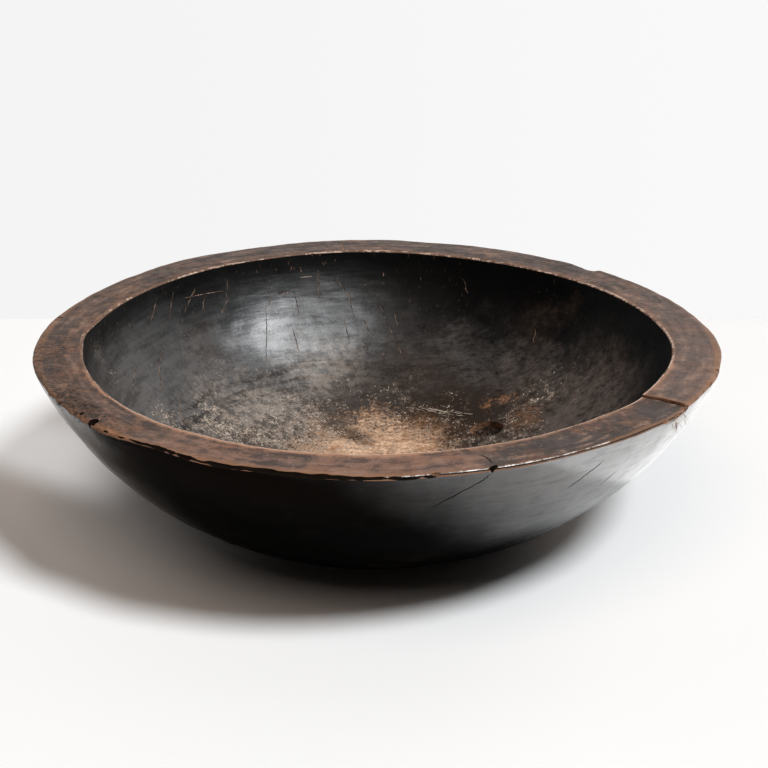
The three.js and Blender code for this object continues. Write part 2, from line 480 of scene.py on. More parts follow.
# %% Group: pale flecks
pale_flecks, start, end = new_group("pale_flecks", {"Size": 4.0, "Keep": 0.5}, ["Flecks", "Tone"])
place = object_place(pale_flecks)
scale = calc("DIVIDE", 1000, start["Size"])
tone = noise(place, calc("MULTIPLY", scale, 1.9), 1)
floor_value = calc("SUBTRACT", 0.86, calc("MULTIPLY", start["Keep"], 0.70))
ceiling = calc("ADD", floor_value, 0.06)
flecks = 0.0
for turn in (20, 110):
    wave = noise(stretch(place, (0.62, 1, 1), turn), scale, 2, 0.6, 0.4)
    edge = calc("ABSOLUTE", calc("SUBTRACT", wave, 0.5))
    gate = noise(stretch(place, (1, 1, 1), turn + 33), calc("MULTIPLY", scale, 1.4), 1)
    sockets = {"Value": gate, 1: floor_value, 2: ceiling}
    kept = add_node(pale_flecks, "MapRange", sockets).outputs[0]
    curl = calc("MULTIPLY", fade(edge, 0.035, 0.012), kept)
    flecks = calc("MAXIMUM", flecks, curl)
pale_flecks.links.new(flecks, end["Flecks"])
pale_flecks.links.new(fade(tone, 0.38, 0.68), end["Tone"])
tell("group pale_flecks", pale_flecks)

# %% [markdown]
# ### Smears round the bowl
# Hands, cloths and the lathe all move along the rim, so smudges there are long in that direction. The
# noise below sees the direction from the axis on a small circle and the true radius and height, which
# draws its blotches out along the rim six times, and no seam shows.

# %% Group: smears round the bowl
round_smears, start, end = new_group("round_smears", {"Size": 5}, ["Smear"])
parts, flat = flat_place(round_smears)
way = vector_calc("NORMALIZE", flat)[0]
way = add_node(round_smears, "VectorMath", {0: way, "Scale": 0.035}, operation="SCALE").outputs[0]
rise = calc("ADD", vector_calc("LENGTH", flat)["Value"], parts[2])
rise = add_node(round_smears, "CombineXYZ", {2: rise}).outputs[0]
scale = calc("DIVIDE", 1000, start["Size"])
round_smears.links.new(noise(vector_calc("ADD", way, rise)[0], scale, 5, 0.65), end["Smear"])
tell("group round_smears", round_smears)

# %% [markdown]
# ## Finish of the inside
# High on the wall the wood is black and smooth with old fat and smoke. Lower down it turns grey and
# brown, and on the floor it is scoured to bare tan wood with torn fibres. So the colour follows the
# height, but the borders are broken up by blotches of several sizes.

# %% Inside wood: wall


def close_wood(tree, colour, roughness, height, depth, steady=None):
    """Ends a wood finish: relief of the given depth in mm and the shader with its steady values."""
    sockets = {"Strength": 1.0, "Distance": depth * MM, "Height": height}
    relief = add_node(tree, "Bump", sockets).outputs[0]
    sockets = {"Base Color": colour, "Roughness": roughness, "Normal": relief}
    sockets.update(steady or {})
    close_material(tree, add_node(tree, "BsdfPrincipled", sockets).outputs[0])


def offset(value, blotches, reach):
    """Shifts a value up and down by a noise, to break up a border."""
    return calc("ADD", value, calc("MULTIPLY", calc("SUBTRACT", blotches, 0.5), reach))


def towards(tree, azimuth):
    """The cosine of the angle round the axis between a place and an azimuth, which has no seam."""
    way = vector_calc("NORMALIZE", flat_place(tree)[1])[0]
    return vector_calc("DOT_PRODUCT", way, tuple(around(1000, azimuth, 0)))["Value"]


def times(*values):
    """The product of several numbers."""
    result = values[0]
    for value in values[1:]:
        result = calc("MULTIPLY", result, value)
    return result


def heap(*shares):
    """The sum of several values, each with its weight."""
    result = 0.0
    for value, weight in shares:
        result = calc("ADD", result, calc("MULTIPLY", value, weight))
    return result


INSIDE_BLACK = (0.0019, 0.0018, 0.0018, 1)
INSIDE_GREY = (0.030, 0.0280, 0.0275, 1)
INSIDE_BROWN = (0.072, 0.046, 0.032, 1)
FLOOR_BROWN = (0.024, 0.0155, 0.011, 1)
INSIDE_ASH_AND_SHEEN = (0.29, 0.24, 0.20, 1)
INSIDE_DUST = (0.116, 0.093, 0.080, 1)
INSIDE_HAZE_AND_SHEEN = (0.072, 0.064, 0.059, 1)
BARE_TAN = (0.82, 0.54, 0.36, 1)
BARE_ORANGE = (0.30, 0.145, 0.07, 1)
FLECK_TAN = (0.25, 0.145, 0.085, 1)
FLECK_PALE = (0.84, 0.74, 0.63, 1)

inside_wood, tree = new_material("inside_wood")
place = object_place(tree)
spot = use_group(tree, lathe_place)
sides = add_node(tree, "SeparateXYZ", {0: place}).outputs
broad = cloud(place, 70, 2)
patch = cloud(place, 22, 4, 0.6)
mottle = cloud(place, 7, 5, 0.7)
fine = cloud(place, 2.6, 4, 0.75)
hair = cloud(stretch(place, (1, 1, 0.045)), 1.7, 2, 0.6)
streak = use_group(tree, fibre_grain, Width=2.2)["Streak"]
band = use_group(tree, turning_marks, Width=13, Wander=36)["Band"]

left = fade(sides[0], 0.10, -0.07)
low = offset(offset(spot["Height"], patch, 46), broad, 40)
grey = times(fade(low, 100, 46), level(left, 0.35, 1.0))
cloudy = heap((mottle, 0.5), (streak, 0.3), (hair, 0.2))
grey = times(grey, fade(cloudy, 0.36, 0.64, 0.25, 1.5))
colour = paint(grey, INSIDE_BLACK, INSIDE_GREY)
colour = paint(times(fade(band, 0.44, 0.34), 0.7), colour, INSIDE_BLACK)
print("wall tones from", INSIDE_BLACK[0], "to", INSIDE_GREY[0])

# %% [markdown]
# ### Stains on the wall
# Brown wood shows through the black in a few places: on the left, and in a flame of patches on the right.
# Grey dust lies lower on the right. Two grey patches on the back and right are partly a grey film on the
# wood and partly a painted sheen. Each is a soft ball round a place on the wall, with a border that two
# noises tear up.

# %% Inside wood: stains


def near(centre, outer, inner, blotch, crumbs):
    """A patch round a place in mm that fades from its outer to its inner radius, with a torn border."""
    middle = tuple(number * MM for number in centre)
    length = calc("MULTIPLY", vector_calc("DISTANCE", place, middle)["Value"], 1000)
    return fade(offset(offset(length, patch, blotch), fine, crumbs), outer, inner)


ground = fade(offset(low, fine, 60), 60, 30)
colour = paint(times(ground, 0.9), colour, FLOOR_BROWN)
# Middle, outer and inner radius in mm, share and colour
wall_stains = [
    ((-126, 108, 72), 38, 4, 0.5, INSIDE_BROWN),
    ((-125, 72, 54), 30, 4, 0.5, INSIDE_BROWN),
    ((118, 130, 84), 32, 2, 0.35, INSIDE_BROWN),
    ((138, 118, 95), 20, 1, 0.4, INSIDE_BROWN),
    ((165, 55, 84), 24, 2, 0.6, INSIDE_BROWN),
    ((150, 60, 66), 56, 10, 0.45, INSIDE_BROWN),
    # Grey film and painted sheen, low on the back and on the right:
    ((56, 126, 48), 64, 12, 1.15, INSIDE_HAZE_AND_SHEEN),
    ((152, 70, 70), 56, 10, 0.35, INSIDE_HAZE_AND_SHEEN),
    ((104, 30, 33), 60, 20, 1.2, INSIDE_DUST),
    ((145, 22, 54), 76, 20, 1.3, INSIDE_DUST),
    ((112, 92, 48), 50, 12, 0.8, INSIDE_DUST),
]
broken = fade(heap((mottle, 0.6), (streak, 0.4)), 0.30, 0.68)
for centre, outer, inner, share, tone in wall_stains:
    mask = near(centre, outer, inner, 60, 26)
    colour = paint(times(mask, broken, share), colour, tone)
print("wall stains", len(wall_stains))

# %% [markdown]
# ### Scoured floor
# The bare wood is one bright patch near the front of the floor, with orange tongues behind it and round
# the knot. A dark stain lies across its back, dark smears cross it, and grey ash-like scuffing covers
# the left; that grey is partly a painted sheen, for the gloss on the left of the floor and low on the
# back wall. The list is painted from first to last.

# %% Inside wood: scoured floor
# Ash-grey scuffing and painted sheen: grey over the left of the floor and low on the back wall.
ash_and_sheen = times(fade(offset(low, fine, 90), 58, 24), left)
ash_and_sheen = calc("MAXIMUM", ash_and_sheen, near((-72, 66, 31), 62, 20, 50, 60))
ash_and_sheen = calc("MAXIMUM", ash_and_sheen, times(near((-34, 122, 45), 50, 12, 50, 60), 0.7))
colour = paint(times(ash_and_sheen, fade(mottle, 0.38, 0.58, 0.22, 1.0)), colour, INSIDE_ASH_AND_SHEEN)
swirl = cloud(stretch(place, (0.35, 1, 1), -25), 5, 4, 0.65, 1.2)
grains = fade(heap((patch, 0.3), (fine, 0.25), (swirl, 0.45)), 0.38, 0.57)
bare = paint(grains, BARE_ORANGE, BARE_TAN)
orange = paint(grains, FLOOR_BROWN, BARE_ORANGE)
scoured = near((-4, 32, 17), 70, 32, 56, 66)
# Middle, outer and inner radius in mm, share and colour
floor_patches = [
    ((14, 110, 35), 66, 26, 0.6, FLOOR_BROWN),
    ((58, 84, 33), 46, 18, 0.85, FLOOR_BROWN),
    ((-18, 97, 32), 36, 14, 0.75, FLOOR_BROWN),
    ((-100, 38, 36), 26, 8, 0.7, FLOOR_BROWN),
    ((28, 64, 23), 40, 12, 0.7, orange),
    ((-2, 87, 28), 22, 5, 0.6, bare),
    ((107, 60, 41), 20, 4, 0.55, orange),
    ((81, 86, 39), 7, 1, 0.7, BARE_ORANGE),
    ((92, 88, 43), 7, 1, 0.6, BARE_ORANGE),
]
for centre, outer, inner, share, tone in floor_patches:
    mask = near(centre, outer, inner, 44, 60)
    colour = paint(times(mask, share), colour, tone)
colour = paint(scoured, colour, bare)
for centre in ((-31, 78, 27), (-20, 69, 24), (-12, 63, 22)):
    colour = paint(times(near(centre, 13, 4, 20, 24), 0.65), colour, FLOOR_BROWN)
print("floor patches", len(floor_patches))

# %% [markdown]
# ### Flecks and scratches
# Torn fibres lie thickest on the ash-grey left and in a ring on the right. Two patches at the front left
# are thick with pale flecks, which stand partly for torn fibres and partly for a whitish glossy streak
# there: a painted highlight. Straw-sized curls and fine crumbs come from the same group at two sizes, so
# they gather in the same places.

# %% Inside wood: flecks and scratches
torn_zone = fade(offset(offset(spot["Height"], patch, 60), broad, 40), 62, 28)
# Torn fibres and a painted highlight: two patches at the front left get dense pale flecks.
front_left = near((-116, 49, 43), 26, 6, 20, 40)
flecks_and_glint = calc("MAXIMUM", front_left, near((-150, 17, 59), 22, 5, 20, 40))
ring = times(near((136, 76, 62), 36, 20, 30, 30), fade(mottle, 0.46, 0.60))
high_left = near((-188, 14, 112), 18, 4, 20, 30)
scuff = calc("MAXIMUM", high_left, near((-179, 11, 92), 16, 3, 20, 30))
dense = fade(mottle, 0.36, 0.62, 0.34, 1.25)
keep = heap((times(torn_zone, dense), 0.48), (ash_and_sheen, 0.21), (flecks_and_glint, 0.55), (ring, 0.40), (scuff, 0.52))
calm = heap((scoured, 0.12), (fade(sides[1], 0.07, 0.11), 0.09), (fade(sides[0], -0.07, -0.11), 0.08))
for centre, share in (((58, 52, 22), 0.05), ((-18, 97, 32), 0.11), ((-122, 62, 50), 0.07)):
    calm = calc("ADD", calm, times(near(centre, 38, 12, 30, 30), share))
keep = calc("SUBTRACT", keep, calm)
straws = use_group(tree, pale_flecks, Size=2.7, Keep=calc("SUBTRACT", keep, 0.06))
crumbs = use_group(tree, pale_flecks, Size=1.35, Keep=keep)
fleck = calc("MAXIMUM", straws["Flecks"], times(crumbs["Flecks"], 0.8))
tone = calc("MAXIMUM", times(straws["Tone"], straws["Flecks"]), times(crumbs["Tone"], 0.85))
grit = cloud(place, 2.0, 3, 0.75)
gaps = times(fade(grit, 0.53, 0.42), torn_zone, level(scoured, 0.9, 0.35))
colour = paint(gaps, colour, FLOOR_BROWN)
colour = paint(fleck, colour, paint(tone, FLECK_TAN, FLECK_PALE))
scratch = times(fade(hair, 0.65, 0.74), fade(patch, 0.42, 0.62, 0.0, 0.5))
scratch = times(scratch, level(left, 0.3, 1.0))
colour = paint(scratch, colour, FLECK_TAN)
print("flecks in", torn_zone.node.name, "and four patches")

# %% [markdown]
# ### Gloss of the wall
# The back left of the wall is polished by the skimming spoon. That gloss is a clear coat whose weight
# follows the azimuth and height, broken by the grain; the floor and the right side stay dull. The hollow
# has dried out of true, which shifts the gloss: a slow slope in the relief of the coat stands for that.

# %% Inside wood: gloss and relief
WALL_LEAN = (35, 15, 70)
worn = calc("MAXIMUM", scoured, times(torn_zone, 0.6))
strokes = cloud(stretch(place, (0.15, 0.15, 1)), 5, 4, 0.6)
scored = heap((strokes, 0.6), (hair, 0.25), (mottle, 0.15))
gloss = times(
    fade(offset(towards(tree, 162), patch, 0.4), -0.05, 0.58),
    fade(offset(towards(tree, 170), patch, 0.2), 0.36, 0.64, 0.62, 1.0),
    fade(offset(spot["Height"], patch, 30), 16, 46),
    fade(offset(spot["Height"], patch, 20), 120, 99, 0.2, 1.0),
    fade(scored, 0.36, 0.58, 0.45, 1.0),
    fade(band, 0.34, 0.44, 0.35, 1.0),
)
waves = cloud(place, 30, 2, 0.5)
relief = heap((band, 0.22), (waves, 0.45), (fine, 0.16), (hair, 0.12), (streak, 0.1), (fleck, 0.3))
wavy = heap((vector_calc("DOT_PRODUCT", place, WALL_LEAN)["Value"], 1.0), (waves, 0.6), (strokes, 0.3))
coat_relief = add_node(tree, "Bump", {"Distance": MM, "Height": wavy}).outputs[0]
steady = {"Specular IOR Level": 0.07, "Coat Weight": gloss, "Coat Roughness": 0.405, "Coat IOR": 1.74}
steady["Coat Normal"] = coat_relief
close_wood(tree, colour, level(worn, 0.5, 0.85), relief, 1.0, steady)
tell("finish inside_wood", tree)

# %% [markdown]
# ## Finish of the rim
# The rim is handled and scrubbed but never scoured. Its brown changes round the bowl: dull at the left,
# rubbed pale at the front, sooty before the split and greyer at the back. Smudges and fine streaks of
# grain lie over that.

# %% Rim wood: tones round the bowl
SPLIT_AZIMUTH = -33
RIM_LEFT = (0.120, 0.070, 0.048, 1)
RIM_FRONT = (0.215, 0.118, 0.082, 1)
RIM_SHADE = (0.052, 0.037, 0.031, 1)
RIM_RIGHT = (0.138, 0.090, 0.072, 1)
RIM_BACK = (0.105, 0.073, 0.060, 1)
RIM_SOOT = (0.034, 0.024, 0.020, 1)
RIM_PALE = (0.29, 0.18, 0.13, 1)
RIM_ORANGE = (0.20, 0.088, 0.045, 1)
RIM_GREY = (0.085, 0.067, 0.060, 1)

rim_wood, tree = new_material("rim_wood")
place = object_place(tree)
spot = use_group(tree, lathe_place)
sides = add_node(tree, "SeparateXYZ", {0: place}).outputs
blotch = cloud(place, 38, 3, 0.6)
smudge = cloud(place, 9, 4, 0.7)
speck = cloud(place, 1.8, 3, 0.7)
smear = use_group(tree, round_smears, Size=6)["Smear"]
grain = use_group(tree, fibre_grain, Width=1.2)
turned = offset(spot["Azimuth"], blotch, 60)
colour = paint(fade(turned, -150, -116), RIM_LEFT, RIM_FRONT)
colour = paint(fade(turned, -84, -62), colour, RIM_SHADE)
past_split = calc("SUBTRACT", spot["Azimuth"], SPLIT_AZIMUTH)
colour = paint(fade(past_split, -1, 1), colour, RIM_RIGHT)
colour = paint(fade(turned, 15, 45), colour, RIM_BACK)
colour = paint(fade(turned, 112, 158), colour, RIM_LEFT)
hue = heap((cloud(place, 24, 3, 0.6), 0.7), (smudge, 0.3))
colour = paint(fade(hue, 0.48, 0.62, 0.0, 0.5), colour, RIM_GREY)
behind = fade(sides[1], 0.02, 0.10)
rusty = times(fade(hue, 0.50, 0.38), level(behind, 0.55, 0.25))
rusty = times(rusty, fade(towards(tree, -10), 0.80, 0.95, 1.0, 0.5))
colour = paint(rusty, colour, RIM_ORANGE)
inward = fade(offset(spot["Radius"], smudge, 12), 203, 196)
colour = paint(times(inward, level(behind, 0.3, 0.4)), colour, RIM_ORANGE)
soot = heap((smear, 0.5), (smudge, 0.35), (speck, 0.15))
sooty = times(fade(soot, 0.47, 0.58), fade(towards(tree, -10), 0.8, 0.95, 0.85, 0.5))
colour = paint(sooty, colour, RIM_SOOT)
colour = paint(times(fade(soot, 0.48, 0.38), 0.75), colour, RIM_PALE)
colour = paint(times(fade(grain["Streak"], 0.54, 0.36), 0.14), colour, RIM_SOOT)
tell("rim tones", tree)

# %% [markdown]
# ### Rubbed edges
# Hands have rubbed the dark skin off the edges. The inner border is pale, most of all at the front. The
# outer border glows orange there, and so does the far side of the split.

# %% Rim wood: rubbed edges
EDGE_TAN = (0.38, 0.20, 0.12, 1)
EDGE_ORANGE = (0.30, 0.145, 0.072, 1)

ragged = heap((smear, 0.5), (smudge, 0.3), (speck, 0.2))
from_inside = offset(calc("SUBTRACT", spot["Radius"], 193.2), ragged, 16)
front = fade(sides[1], 0.14, -0.04, 0.05, 1.0)
front = times(front, fade(towards(tree, -52), 0.80, 0.96, 1.0, 0.45))
inner_edge = times(fade(from_inside, 5.0, 1.5), front)
colour = paint(inner_edge, colour, EDGE_TAN)
forward = fade(towards(tree, -112), 0.78, 0.96)
outer_edge = fade(offset(spot["Radius"], ragged, 14), level(forward, 221.5, 216), 223)
colour = paint(times(outer_edge, level(forward, 0.45, 0.7)), colour, EDGE_ORANGE)
split_wear = fade(offset(past_split, smudge, 2.4), 2.0, 0.2)
split_wear = times(split_wear, fade(past_split, 0, 0.1))
colour = paint(times(split_wear, 0.5), colour, EDGE_ORANGE)
colour = paint(times(grain["Pores"], 0.45), colour, RIM_SOOT)
tell("rim edges rubbed", tree)

# %% [markdown]
# ### Crumbled end grain and dust
# At the front left the end grain is open: dark creases between short ridges, in relief as well as in
# colour. Pale dust sits in a few pores.

# %% Rim wood: creases, dust and relief
creases = cloud(stretch(place, (0.5, 1, 1), 24), 3.0, 4, 0.7, 1.2)
crumbly = fade(offset(towards(tree, -160), blotch, 0.1), 0.90, 0.96)
crumbly = times(crumbly, fade(offset(spot["Radius"], smudge, 12), 199, 211))
colour = paint(times(fade(creases, 0.53, 0.40), crumbly, 0.95), colour, RIM_SOOT)
colour = paint(times(fade(creases, 0.56, 0.66), crumbly, 0.6), colour, EDGE_ORANGE)
dust = times(fade(speck, 0.66, 0.74), fade(smudge, 0.46, 0.56), 0.6)
colour = paint(dust, colour, FLECK_PALE)
relief = heap((grain["Streak"], 0.3), (smudge, 0.4), (smear, 0.5), (speck, 0.15))
relief = calc("ADD", relief, times(creases, crumbly, 2.0))
close_wood(tree, colour, level(smudge, 0.45, 0.7), relief, 1.0, {"Specular IOR Level": 0.2})
tell("finish rim_wood", tree)

# %% [markdown]
# ### Lines along the corners
# Cloths and hands polish the very corner where two surfaces meet. The inner corner is a thin broken line
# of pale wood, palest at the front. The outer corner at the front is glossy, and a broken pale line on it
# is a painted highlight: the glint of that polished corner. A nearly black line lies right below it.
# These are narrow strips of faces with finishes of their own.

# %% Lines along the corners
CORNER_BROWN = (0.14, 0.078, 0.050, 1)
CORNER_CREAM = (0.56, 0.40, 0.31, 1)
PAINTED_GLINT = (0.60, 0.56, 0.53, 1)
CORNER_BLACK = (0.012, 0.008, 0.006, 1)


def corner_material(name, under, over, share, coat):
    """A strip along a corner: one tone laid in dashes over another, more so at the front."""
    material, tree = new_material(name)
    smear = use_group(tree, round_smears, Size=3)["Smear"]
    crumb = cloud(object_place(tree), 3, 3, 0.7)
    dashes = heap((smear, 0.5), (crumb, 0.5), (towards(tree, -100), 0.06))
    dashes = calc("SUBTRACT", dashes, fade(towards(tree, 180), 0.7, 0.95, 0.0, 0.09))
    colour = paint(fade(dashes, share, share + 0.08), under, over)
    steady = {"Specular IOR Level": 0.2, "Coat Weight": coat, "Coat Roughness": 0.25}
    close_wood(tree, colour, level(crumb, 0.45, 0.7), crumb, 0.3, steady)
    return material


inner_corner = corner_material("inner_corner", CORNER_BROWN, CORNER_CREAM, 0.445, 0.0)
# Painted highlight: pale dashes along the outer corner stand for its glint.
glint_corner = corner_material("glint_corner", CORNER_BROWN, PAINTED_GLINT, 0.53, 0.7)
# A nearly black line right below the outer corner.
dark_line = corner_material("dark_line", CORNER_BLACK, CORNER_BROWN, 0.62, 0.0)
print("finishes", inner_corner.name, glint_corner.name, dark_line.name)

# %% [markdown]
# ## Finish of the outside
# Handling and soot have made the outside nearly black. The right flank is polished: that is a clear coat
# whose weight changes from place to place. Its border runs obliquely, further right lower down. The left
# flank is polished too, and a pale film is painted over it, lightest low down: partly dust and partly a
# painted reflection of the white floor.

# %% Outside patina
OUTSIDE_BLACK = (0.0011, 0.0011, 0.001, 1)
OUTSIDE_BROWN = (0.006, 0.0045, 0.0036, 1)
OUTSIDE_DUST_AND_REFLECTION = (0.12, 0.108, 0.095, 1)

outside_patina, tree = new_material("outside_patina")
place = object_place(tree)
spot = use_group(tree, lathe_place)
blotch = cloud(place, 45, 3, 0.6)
smudge = cloud(place, 8, 4, 0.65)
speck = cloud(place, 1.6, 3, 0.7)
smear = use_group(tree, round_smears, Size=4)["Smear"]
band = use_group(tree, turning_marks, Width=9, Wander=14)["Band"]
grain = use_group(tree, fibre_grain, Width=1.6)
stain = fade(offset(blotch, smudge, 0.4), 0.55, 0.8)
colour = paint(stain, OUTSIDE_BLACK, OUTSIDE_BROWN)
rubbed = fade(offset(spot["Height"], smudge, 5), 121, 122.4)
rubbed = times(rubbed, fade(towards(tree, -120), 0.5, 0.9, 0.08, 0.4))
colour = paint(rubbed, colour, EDGE_ORANGE)
dust = times(fade(speck, 0.70, 0.78), fade(smudge, 0.5, 0.62), 0.10)
colour = paint(dust, colour, FLECK_TAN)
lowered = calc("MULTIPLY", calc("SUBTRACT", 105, spot["Height"]), 0.37)
turned = offset(calc("SUBTRACT", spot["Azimuth"], lowered), blotch, 14)
right_flank = fade(turned, -97, -60)
right_flank = times(right_flank, level(right_flank, 0.5, 1.0))
left_flank = fade(offset(spot["Azimuth"], blotch, 14), -134, -154)
right_flank = times(right_flank, fade(spot["Height"], 12, 74, 0.15, 1.0))
left_flank = times(left_flank, fade(spot["Height"], 6, 40, 0.3, 1.0))
colour = paint(times(fade(spot["Height"], 70, 112), 0.8), colour, OUTSIDE_BROWN)
# Dust and painted reflection: the left flank is painted paler, most of all low down, where it faces the
# white floor.
left_dust_and_reflection = fade(offset(spot["Azimuth"], blotch, 14), -124, -154)
left_dust_and_reflection = times(left_dust_and_reflection, fade(spot["Height"], 112, 64, 0.4, 1.0))
colour = paint(times(left_dust_and_reflection, 0.8), colour, OUTSIDE_DUST_AND_REFLECTION)
polish = calc("MAXIMUM", right_flank, left_flank)
rubbing = heap((smear, 0.5), (smudge, 0.3), (grain["Streak"], 0.2))
polish = times(polish, fade(rubbing, 0.3, 0.55, 0.7, 1.0))
relief = heap((band, 0.3), (grain["Streak"], 0.12), (smudge, 0.2), (smear, 0.15))
steady = {"Specular IOR Level": 0.003, "Coat Weight": polish, "Coat Roughness": 0.25, "Coat IOR": 2.4}
close_wood(tree, colour, level(smudge, 0.3, 0.5), relief, 0.5, steady)
tell("finish outside_patina", tree)

# %% [markdown]
# ## Finish of broken wood
# Inside a chip the wood is orange brown, dry and fibrous, with dirt in its hollows. Inside the split it is
# orange only near its top edge; lower down its faces are painted nearly black, a painted shade for the
# narrow gap. The fine drying checks are only filled with brown dust. Old breaks at the edge have gone
# nearly black.

# %% Torn wood, old breaks and check dust
TORN_ORANGE = (0.26, 0.125, 0.06, 1)
TORN_DARK = (0.045, 0.025, 0.015, 1)

torn_wood, tree = new_material("torn_wood")
place = object_place(tree)
grain = use_group(tree, fibre_grain, Width=1.0)
dirt = cloud(place, 6, 4, 0.65)
colour = paint(fade(offset(grain["Streak"], dirt, 0.6), 0.62, 0.38), TORN_ORANGE, TORN_DARK)
relief = heap((grain["Streak"], 1.0), (dirt, 0.5))
close_wood(tree, colour, level(dirt, 0.75, 0.95), relief, 0.8)


def broken_wood(name, dirt_shape, tones, steps, rough, depth, rise=0, steady=None):
    """Wood in two tones that its dirt parts, or its height in mm shifted by dirt if there is a rise."""
    material, tree = new_material(name)
    place = object_place(tree)
    dirt = cloud(place, *dirt_shape)
    share = dirt
    if rise:
        high = add_node(tree, "SeparateXYZ", {0: place}).outputs[2]
        share = offset(calc("MULTIPLY", high, 1000), dirt, rise)
    close_wood(tree, paint(fade(share, *steps), *tones), level(dirt, *rough), dirt, depth, steady)
    return material


BREAK_DARK = (0.008, 0.005, 0.0035, 1)
BREAK_BROWN = (0.036, 0.019, 0.011, 1)
CHECK_DARK = (0.03, 0.02, 0.014, 1)
CHECK_BROWN = (0.20, 0.13, 0.085, 1)
DRY = (0.8, 0.95)
dull = {"Specular IOR Level": 0.05}
old_break = broken_wood("old_break", (4, 4, 0.7), (BREAK_DARK, BREAK_BROWN), (122, 128), DRY, 1.0, 9, dull)
# Painted shade: the split's faces are nearly black below the top of the rim, and orange only near its top
# edge.
split_face = broken_wood("split_face", (3, 3, 0.7), (BREAK_DARK, EDGE_ORANGE), (123.3, 124.3), DRY, 0.6, 3)
worn_line = broken_wood("worn_line", (6, 3, 0.6), (RIM_SOOT, EDGE_TAN), (0.35, 0.6), (0.7, 0.9), 0.3)
check_dust = broken_wood("check_dust", (5, 3, 0.6), (CHECK_DARK, CHECK_BROWN), (0.42, 0.60), DRY, 0.3)
print("finishes", torn_wood.name, old_break.name, check_dust.name)

# %% [markdown]
# ## Turned form
# The bowl is a half section swept round the lathe's axis. The section is drawn as a chain of
# points, each extruded from the last, along the foot, up the outside, over the rim and down the
# inside. The Screw modifier then turns it, faster than Spin does for this many steps.

# %% Half section
STEPS_ROUND = 480
wall_out = [(0.075, 0), (0.137, 0.007), (0.2024, 0.062), (0.2237, 0.1205)]
arris_out = [(0.2237, 0.1205), (0.2247, 0.1232), (0.2240, 0.124), (0.2212, 0.124)]
arris_in = [(0.1947, 0.124), (0.1937, 0.124), (0.1932, 0.1237), (0.1930, 0.1226)]
wall_in = [(0.1930, 0.1226), (0.1785, 0.0638), (0.115, 0.017), (0, 0.017)]


def curve_points(handles, count):
    """Points along a Bezier curve of the section, from its four handles."""
    return [tuple(point) for point in interpolate_bezier(*[Vector(h) for h in handles], count)]


section = [(0.009 * step, 0) for step in range(1, 9)]
section += curve_points(wall_out, 50)
section += curve_points(arris_out, 7)[1:]
section += [(0.2212 - 0.0265 * step / 10, 0.124) for step in range(1, 10)]
section += curve_points(arris_in, 7)
section += curve_points(wall_in, 54)[1:]
print("points in the half section:", len(section))

# %% Turn the section


def chain(name, places):
    """Draws a chain of points from the origin, each extruded from the last, and leaves it open."""
    let_go()
    bpy.ops.mesh.primitive_plane_add(size=0.01, location=(0, 0, 0))
    piece = bpy.context.object
    piece.name = name
    edit(piece)
    pick_all()
    bpy.ops.mesh.merge(type="CENTER")
    here = Vector((0, 0, 0))
    for there in places:
        extrude(there - here)
        here = there
    return piece


bowl = chain("turned_bowl", [Vector((radius, 0, height)) for radius, height in section])
round_once = {"angle": 2 * math.pi, "steps": STEPS_ROUND, "render_steps": STEPS_ROUND}
apply_modifier(bowl, "SCREW", use_merge_vertices=True, merge_threshold=0.00001, **round_once)
edit(bowl)
pick_all()
bpy.ops.mesh.remove_doubles(threshold=0.00001)
face_outward()
let_go()
print("turned bowl:", len(bowl.data.vertices), "points,", len(bowl.data.polygons), "faces")

# %% [markdown]
# ## Zones of finish
# Each face gets the finish of its zone while the form is still exact: the rim lies above a height and
# faces up, and the outside faces away from the axis or down. The inside starts right below the edge. The
# corners of the rim get their lines.

# %% Zones of finish
# Heights and radii in metres, azimuths in degrees
RIM_LINE = 0.1212
OUTER_EDGE = 0.21
INNER_CORNER = (0.1946, 0.1230)
SHINE_LINE = (0.1233, 0.1236)
DARK_LINE_FOOT = 0.1224
GLINT_STRETCH = (-98, -53)
DARK_STRETCH = (-98, -35)
UPWARD = 0.6
DOWNWARD = -0.5


def zone_of(face):
    """The finish of a face, from its place and the way it faces."""
    radius = face.center.xy.length
    height = face.center.z
    azimuth = math.degrees(math.atan2(face.center.y, face.center.x))
    outwards = face.normal.x * face.center.x + face.normal.y * face.center.y
    if radius < INNER_CORNER[0] and height > INNER_CORNER[1]:
        return inner_corner
    outer = radius > OUTER_EDGE
    # A thin strip along the outer corner at the front gets the painted highlight of its glint.
    if outer and GLINT_STRETCH[0] < azimuth < GLINT_STRETCH[1] and SHINE_LINE[0] < height < SHINE_LINE[1]:
        return glint_corner
    # Right below it, a strip gets a nearly black line.
    if outer and DARK_STRETCH[0] < azimuth < DARK_STRETCH[1] and DARK_LINE_FOOT < height < SHINE_LINE[0]:
        return dark_line
    if height > RIM_LINE and (outwards > 0 or face.normal.z > UPWARD):
        return rim_wood
    if outwards > 0 or face.normal.z < DOWNWARD:
        return outside_patina
    return inside_wood


zones = (outside_patina, rim_wood, inside_wood, inner_corner, glint_corner, dark_line)
for finish in zones:
    bowl.data.materials.append(finish)
for face in bowl.data.polygons:
    face.material_index = zones.index(zone_of(face))
for number, finish in enumerate(zones):
    print(finish.name, sum(face.material_index == number for face in bowl.data.polygons), "faces")

# %% [markdown]
# ## Drying
# Wood shrinks across the grain, so a bowl turned round goes oval and its rim turns into a shallow
# saddle. Proportional editing pulls the rim and lets the wall follow less and less downwards.

# %% Drying out of round
OVAL = 0.0036
SADDLE = 0.0014
SOFT = {"use_proportional_edit": True, "proportional_edit_falloff": "SMOOTH"}
edit(bowl)
pick(bowl, lambda place: place.z > 0.119)
shrunk = (1 + OVAL, 1 - OVAL, 1)
bpy.ops.transform.resize(value=shrunk, center_override=(0, 0, 0), proportional_size=0.11, **SOFT)


